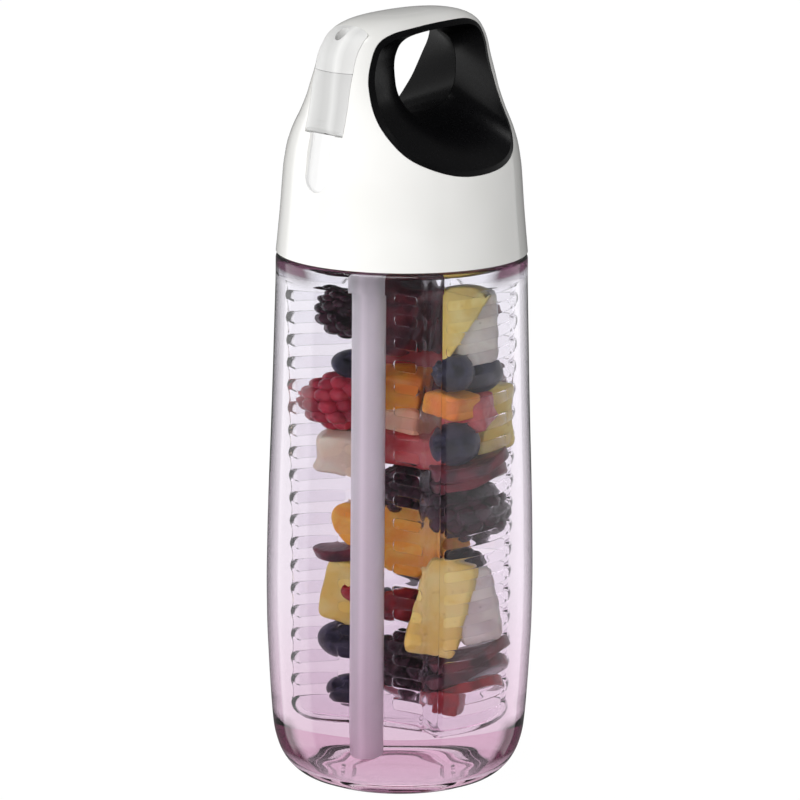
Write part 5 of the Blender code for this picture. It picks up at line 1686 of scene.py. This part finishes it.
FRUIT_SEED = 7
FRUIT = (
    FruitPiece("dark_berry_top", Kind.CLUSTER, "bramble", (-15.6, -0.2, 140), (6.4, 6.4, 9.4), (20, 10, 0)),
    FruitPiece("plum_slices_top", Kind.CHUNK, "plum", (-5.0, 5.2, 139), (6, 6, 11), (0, 12, 20)),
    FruitPiece("blueberry_a", Kind.BERRY, "blueberry", (-13.6, 0.0, 124.0), (4.6, 4.4, 4.2), (60, 0, 30)),
    FruitPiece("raspberry_a", Kind.CLUSTER, "raspberry", (-17.2, 0.8, 112.5), (8.5, 8, 9.5), (10, 20, 0)),
    FruitPiece("melon_a", Kind.CHUNK, "melon", (-16.0, 0.6, 97), (5.4, 5.4, 6), (10, 5, 30)),
    FruitPiece("mango_a", Kind.CHUNK, "mango", (-3.6, 4.0, 117.5), (5.5, 6, 6.2), (15, 10, 40)),
    FruitPiece("peach_a", Kind.CHUNK, "peach", (-3.0, 4.2, 108.6), (6, 6, 4.2), (5, 0, 20)),
    FruitPiece("strawberry_a", Kind.CHUNK, "strawberry", (-0.2, 5.0, 100.5), (9, 6, 5.2), (10, 12, 30)),
    FruitPiece("pineapple_a", Kind.WEDGE, "pineapple", (17.0, 2.0, 139), (6.6, 3.6, 12.5), (0, 14, 48)),
    FruitPiece("pear_a", Kind.CHUNK, "pear", (16.6, 8.2, 138), (5.4, 3.2, 11), (0, 0, 60)),
    FruitPiece("blueberry_b", Kind.BERRY, "blueberry", (17.8, 0.8, 125), (5.6, 5.6, 5.2), (80, 0, -20)),
    FruitPiece("blueberry_c", Kind.BERRY, "blueberry", (15.2, 10.2, 123.5), (6, 6, 5.6), (70, 20, 40)),
    FruitPiece("citrus_a", Kind.CHUNK, "mango", (17.2, 1.0, 115.6), (5.5, 5, 3.6), (0, 12, 10)),
    FruitPiece("pink_a", Kind.CHUNK, "strawberry", (16.0, 6.6, 112.6), (6, 5, 4.6), (20, 0, 30)),
    FruitPiece("pear_b", Kind.CHUNK, "pineapple", (11.0, 15.0, 109), (5, 5, 10), (0, 0, 10)),
    FruitPiece("blueberry_d", Kind.BERRY, "blueberry", (16.2, 2.6, 103.5), (6.6, 6.6, 6), (75, 0, 10)),
    FruitPiece("plum_a", Kind.SLICE, "plum", (14.0, 9.0, 96), (10, 8, 1.8), (12, -14, 40)),
    FruitPiece("plum_b", Kind.SLICE, "plum", (13.0, 9.6, 91.6), (10, 8, 1.8), (8, -16, 20)),
    FruitPiece("bramble_a", Kind.CLUSTER, "bramble", (10.0, 11.2, 82), (11, 10, 9.5), (0, 20, 0)),
    FruitPiece("bramble_b", Kind.CLUSTER, "bramble", (-3.4, 5.6, 87.5), (7, 7.4, 8), (20, 0, 0)),
    FruitPiece("citrus_b", Kind.SLICE, "citrus", (-12.9, 1.6, 74.5), (8, 5, 2.2), (80, 60, 20)),
    FruitPiece("citrus_c", Kind.SLICE, "citrus", (-2.8, 5.6, 73.0), (7, 12.5, 2.8), (84, 0, 40)),
    FruitPiece("plum_c", Kind.SLICE, "plum", (-14.8, 0.4, 67.8), (7.4, 5.6, 1.7), (10, -14, 10)),
    FruitPiece("pineapple_b", Kind.CHUNK, "pineapple", (-14.6, 0.9, 56), (4.9, 5, 9), (0, 6, 20)),
    FruitPiece("red_berry_a", Kind.BERRY, "cherry", (-11.6, -0.9, 55.6), (3.4, 3.2, 4), (50, 0, 0)),
    FruitPiece("cherry_a", Kind.BERRY, "cherry", (-2.4, 3.6, 53.0), (6.5, 5, 6.4), (60, 0, 90)),
    FruitPiece("blueberry_e", Kind.BERRY, "blueberry", (-15.8, 1.4, 41), (6, 6, 5.8), (70, 30, 0)),
    FruitPiece("bramble_c", Kind.CLUSTER, "bramble", (-3.0, 8.4, 35), (9.5, 9, 12), (30, 0, 0)),
    FruitPiece("pineapple_c", Kind.CHUNK, "pineapple", (11.6, 2.6, 54), (6.4, 3.2, 14), (0, 12, 44)),
    FruitPiece("pear_c", Kind.CHUNK, "pear", (15.2, 9.8, 54), (5.2, 3.4, 11), (0, -8, 62)),
    FruitPiece("plum_d", Kind.SLICE, "plum", (11.6, 11.0, 38.6), (10, 9, 1.8), (10, -18, 30)),
    FruitPiece("plum_e", Kind.SLICE, "plum", (11.0, 10.6, 33.6), (10.5, 9, 1.8), (6, -20, 10)),
    FruitPiece("plum_f", Kind.SLICE, "cherry", (11.0, 9.6, 28.6), (10, 9, 1.8), (4, -16, 0)),
    FruitPiece("strawberry_b", Kind.CHUNK, "cherry", (15.4, 2.0, 26.2), (3.4, 3, 3.4), (0, 8, 30)),
    FruitPiece("blueberry_f", Kind.BERRY, "blueberry", (-14.8, 1.6, 26), (5.2, 5.2, 5), (60, 0, 0)),
    FruitPiece("back_plum_top", Kind.CHUNK, "plum", (-2.0, 16.0, 136), (7, 5, 9), (0, 20, 10)),
    FruitPiece("back_plum", Kind.CHUNK, "plum", (2.0, 16.0, 117), (7, 5.5, 7), (0, 0, 30)),
    FruitPiece("back_melon", Kind.CHUNK, "melon", (-9.0, 14.5, 101), (7, 6, 7), (0, 15, 20)),
    FruitPiece("back_strawberry", Kind.CHUNK, "strawberry", (-9.0, 13.5, 120), (7, 6, 8), (0, 0, 40)),
    FruitPiece("back_bramble", Kind.CLUSTER, "bramble", (-10.5, 13.0, 84), (7.5, 7.5, 8.5), (0, 0, 0)),
    FruitPiece("back_citrus", Kind.SLICE, "citrus", (-6.0, 15.5, 66), (9, 8, 2.4), (80, 10, 0)),
    FruitPiece("back_bramble_low", Kind.CLUSTER, "bramble", (2.4, 14.6, 60), (8, 6.5, 10), (0, 10, 0)),
    FruitPiece("back_blueberry", Kind.BERRY, "blueberry", (-11.0, 12.5, 51), (6.2, 6.2, 6), (30, 60, 0)),
    FruitPiece("back_cherry", Kind.BERRY, "cherry", (-11.0, 12.0, 30), (6, 6, 6), (0, 0, 0)),
)


class FruitFill:
    """Cut fruit and berries in the basket."""

    def __init__(self, finishes: Finishes) -> None:
        effects = finishes.effects
        kinds = (
            FruitFinish("blueberry", (0.012, 0.011, 0.03), (0.03, 0.03, 0.07),
                        (0.002, 0.002, 0.006), mottle=220.0, specks=0.2, scatter=0.0,
                        roughness=0.4),
            FruitFinish("bramble", (0.02, 0.004, 0.012), (0.045, 0.008, 0.02),
                        (0.004, 0.001, 0.003), specks=0.1, scatter=0.0, roughness=0.25),
            FruitFinish("raspberry", (0.50, 0.03, 0.06), (0.32, 0.015, 0.04),
                        (0.15, 0.01, 0.02), roughness=0.3),
            FruitFinish("strawberry", (0.50, 0.03, 0.04), (0.62, 0.14, 0.14),
                        (0.55, 0.35, 0.10), specks=0.35, mottle=110.0),
            FruitFinish("cherry", (0.38, 0.02, 0.03), (0.22, 0.01, 0.02),
                        (0.1, 0.005, 0.01), roughness=0.2, bump_strength=0.08),
            FruitFinish("plum", (0.06, 0.006, 0.018), (0.17, 0.018, 0.032),
                        (0.03, 0.004, 0.01), mottle=130.0, specks=0.25),
            FruitFinish("mango", (0.90, 0.40, 0.05), (0.85, 0.24, 0.03),
                        (0.9, 0.5, 0.15), mottle=90.0, specks=0.1),
            FruitFinish("peach", (0.88, 0.62, 0.42), (0.85, 0.42, 0.28),
                        (0.8, 0.3, 0.2), mottle=90.0),
            FruitFinish("citrus", (0.92, 0.36, 0.03), (0.95, 0.50, 0.08),
                        (0.98, 0.7, 0.3), cells=420.0, specks=0.4, bump_strength=0.5),
            FruitFinish("pineapple", (0.86, 0.72, 0.24), (0.80, 0.58, 0.12),
                        (0.45, 0.25, 0.03), cells=380.0, specks=0.45, mottle=120.0),
            FruitFinish("pear", (0.78, 0.76, 0.68), (0.66, 0.60, 0.54),
                        (0.2, 0.12, 0.10), cells=420.0, specks=0.5),
            FruitFinish("melon", (0.86, 0.78, 0.62), (0.82, 0.66, 0.50),
                        (0.6, 0.3, 0.2), mottle=80.0),
        )
        self.materials = {kind.name: kind.material(effects) for kind in kinds}

    def build(self) -> list[tuple[FruitPiece, bpy.types.Object]]:
        """Make every piece of fruit in its place."""
        makers = {Kind.BERRY: FruitShapes.berry, Kind.CLUSTER: FruitShapes.cluster,
                  Kind.CHUNK: FruitShapes.chunk, Kind.SLICE: FruitShapes.slice,
                  Kind.WEDGE: FruitShapes.wedge}
        noise.seed_set(FRUIT_SEED)
        made = []
        for fruit in FRUIT:
            bm = makers[fruit.kind](Vector(fruit.size) * MM)
            turn = [math.radians(angle) for angle in fruit.turn]
            matrix = (Matrix.Translation(Vector(fruit.place) * MM)
                      @ Matrix.Rotation(turn[2], 4, "Z") @ Matrix.Rotation(turn[1], 4, "Y")
                      @ Matrix.Rotation(turn[0], 4, "X"))
            bmesh.ops.transform(bm, matrix=matrix, verts=bm.verts)
            made.append((fruit, Bench.piece(f"fruit_{fruit.name}", bm)))
        return made

    def dress(self, made: list[tuple[FruitPiece, bpy.types.Object]]) -> None:
        """Settle the fruit on the basket."""
        for fruit, obj in made:
            settle(obj, Body.INFUSER, self.materials[fruit.finish])
        LOG.info("fruit: %d pieces", len(made))


# Light and camera


@dataclass(frozen=True)
class Panel:
    """Soft-edged patch of light round the scene, in degrees right of and above the camera's view."""

    left: float
    right: float
    low: float
    high: float
    strength: float
    softness: float = 3.0


@dataclass(frozen=True)
class CameraSizes:
    """Place and lens of the camera."""

    azimuth: float = 46.0
    elevation: float = 12.0
    roll: float = 0.4
    distance: float = 2.0
    target: float = 113.2 * MM
    focal_px: float = 6800.0
    centre_px: float = 400.8
    image_px: float = 800.0
    sensor: float = 36.0


class Studio:
    """Plain pale floor, soft light all round and the camera."""

    FLOOR_RADIUS = 3.0
    FLOOR_DROP = 0.2 * MM

    BACKDROP = 0.12
    BELOW = 0.75
    BACKDROP_CONES = ((36.0, 64.0, 0.65), (60.0, 95.0, 0.32))
    THROUGH_PANELS = (
        Panel(-140.0, -80.0, -26.0, 30.0, 0.40, 7.0),
        Panel(60.0, 137.0, -26.0, 30.0, 0.34, 7.0),
    )
    AMBIENT = 0.40
    CONTENTS = 1.5
    KEY_PANELS = (
        Panel(-100.0, 25.0, -30.0, 68.0, 1.27, 8.0),
    )
    MIRRORED = 0.12
    MIRRORED_PANELS = (
        Panel(41.0, 137.0, -30.0, 12.0, 0.8, 1.0),
        Panel(-132.0, -87.0, -30.0, 20.0, 1.4, 3.0),
        Panel(-110.0, 20.0, 54.0, 84.0, 6.0, 2.0),
    )

    def __init__(self, sizes: CameraSizes) -> None:
        self.sizes = sizes
        azimuth = math.radians(sizes.azimuth)
        self.towards = Vector((math.sin(azimuth), -math.cos(azimuth), 0.0))
        self.aside = Vector((math.cos(azimuth), math.sin(azimuth), 0.0))

    def panels(self, tree: Tree, way: bpy.types.NodeSocket, base: float,
               panels: Iterable[Panel]) -> bpy.types.NodeSocket:
        """Add up the light of panels in a direction.

        Args:
            tree: The world's nodes.
            way: Direction that is looked at.
            base: Light between the panels.
            panels: The panels.

        Returns:
            The strength of the light.
        """
        total = base
        height = tree.axis(way, "Z")
        for panel in panels:
            soft = math.sin(math.radians(panel.softness))
            amount = panel.strength
            for angle, side in ((panel.left, 1.0), (panel.right, -1.0)):
                turn = math.radians(angle)
                edge = (self.aside * math.cos(turn) - self.towards * math.sin(turn)) * side
                mask = tree.range(tree.dot(way, edge), (-soft, soft), (0.0, 1.0), smooth=True)
                amount = tree.math("MULTIPLY", mask, amount)
            for angle, side in ((panel.low, 1.0), (panel.high, -1.0)):
                limit = math.sin(math.radians(angle))
                mask = tree.range(height, (limit - side * soft, limit + side * soft), (0.0, 1.0),
                                  smooth=True)
                amount = tree.math("MULTIPLY", mask, amount)
            total = tree.math("ADD", amount, total)
        return total

    def backdrop(self, tree: Tree, way: bpy.types.NodeSocket) -> bpy.types.NodeSocket:
        """Bright backdrop opposite the camera, with soft panels at the sides."""
        below = tree.range(tree.axis(way, "Z"), (-0.80, -0.30),
                           (self.BACKDROP + self.BELOW, self.BACKDROP), smooth=True)
        total = self.panels(tree, way, below, self.THROUGH_PANELS)
        dot = tree.dot(way, -self.towards)
        for inner, outer, strength in self.BACKDROP_CONES:
            cone = tree.range(dot, (math.cos(math.radians(outer)), math.cos(math.radians(inner))),
                              (0.0, strength), smooth=True)
            total = tree.math("ADD", cone, total)
        return total

    def world(self) -> None:
        """Light the scene by soft patches; what is seen through clear pieces is the backdrop."""
        world = bpy.data.worlds.new("studio")
        bpy.context.scene.world = world
        world.use_nodes = True
        world.node_tree.nodes.clear()
        tree = Tree(world.node_tree)
        way = tree.node("ShaderNodeTexCoord").outputs["Generated"]
        path = tree.node("ShaderNodeLightPath").outputs
        clear = tree.math("LESS_THAN", path["Diffuse Depth"], 0.5)
        straight = tree.math("MULTIPLY", clear, path["Is Transmission Ray"])
        mirrored = tree.math("MULTIPLY", clear, path["Is Reflection Ray"])
        outside = self.panels(tree, way, self.AMBIENT, self.KEY_PANELS)
        inside = tree.math("MULTIPLY", outside, self.CONTENTS)
        strength = tree.mix(path["Is Transmission Ray"], outside, inside)
        for share, other in (
                (mirrored, self.panels(tree, way, self.MIRRORED, self.MIRRORED_PANELS)),
                (straight, self.backdrop(tree, way)),
                (path["Is Camera Ray"], 1.0)):
            strength = tree.mix(share, strength, other)
        light = tree.node("ShaderNodeBackground", {
            "Color": (1.0, 1.0, 1.0, 1.0), "Strength": strength})
        tree.node("ShaderNodeOutputWorld", {"Surface": light.outputs[0]})

    def floor(self) -> None:
        """Round pale floor just under the foot."""
        bm = bmesh.new()
        bmesh.ops.create_circle(bm, cap_ends=True, segments=64, radius=self.FLOOR_RADIUS)
        bmesh.ops.translate(bm, verts=bm.verts, vec=(0.0, 0.0, -self.FLOOR_DROP))
        floor = Bench.piece("studio_floor", bm)
        material, tree, shader = Finish("studio_floor").start()
        grain = tree.node("ShaderNodeTexNoise", {"Vector": tree.place(), "Scale": 4.0})
        colour = tree.ramp(grain.outputs["Fac"], [(0.0, (0.99, 0.99, 0.99)), (1.0, WHITE)])
        tree.feed(shader, {
            "Emission Color": colour, "Base Color": (0.02, 0.02, 0.02, 1.0),
            "Emission Strength": 1.0, "Roughness": 1.0, "Specular IOR Level": 0.0})
        floor.data.materials.append(material)
        floor.visible_diffuse = floor.visible_glossy = floor.visible_transmission = False

    def camera(self) -> None:
        """Camera at the photograph's angle."""
        s = self.sizes
        a, e, roll = (math.radians(angle) for angle in (s.azimuth, s.elevation, s.roll))
        back = Vector((math.sin(a) * math.cos(e), -math.cos(a) * math.cos(e), math.sin(e)))
        level = Vector((math.cos(a), math.sin(a), 0.0))
        upright = back.cross(level)
        right = level * math.cos(roll) + upright * math.sin(roll)
        up = upright * math.cos(roll) - level * math.sin(roll)
        data = bpy.data.cameras.new("camera")
        data.sensor_width = s.sensor
        data.lens = s.focal_px / s.image_px * s.sensor
        data.shift_x = (s.image_px / 2 - s.centre_px) / s.image_px
        data.clip_start, data.clip_end = 0.05, 20.0
        camera = bpy.data.objects.new("camera", data)
        turn = Matrix((right, up, back)).transposed().to_4x4()
        camera.matrix_world = Matrix.Translation(
            Vector((0.0, 0.0, s.target)) + back * s.distance) @ turn
        bpy.context.scene.collection.objects.link(camera)
        bpy.context.scene.camera = camera

    def build(self) -> None:
        """Set up the whole studio."""
        self.world()
        self.floor()
        self.camera()
        bpy.context.scene.view_settings.view_transform = "Standard"


def main() -> None:
    """Build every piece, dress it and set up the studio."""
    logging.basicConfig(level=logging.INFO, format="%(message)s")
    finishes = Finishes()
    studio = Studio(CameraSizes())
    studio.build()

    bottle = Bottle(BottleSizes(), finishes)
    bottle.dress(bottle.build())

    form = CapForm(CapSizes())
    spout = FlipSpout(SpoutSizes(), form, finishes)
    cap = Cap(form, spout, finishes)
    shell, halves, trim = cap.build()
    spout_body, spout_tip = spout.build(trim)
    bpy.data.objects.remove(trim)
    cap.dress(shell, halves)
    spout.dress(spout_body, spout_tip)

    inside = LidInside(SealSizes(), finishes)
    inside.dress(inside.build())

    straw = Straw(StrawSizes(), finishes)
    straw.dress(straw.build())
    basket = Basket(BasketSizes(), finishes)
    basket.dress(basket.build())
    fruit = FruitFill(finishes)
    fruit.dress(fruit.build())


if __name__ == "__main__":
    main()
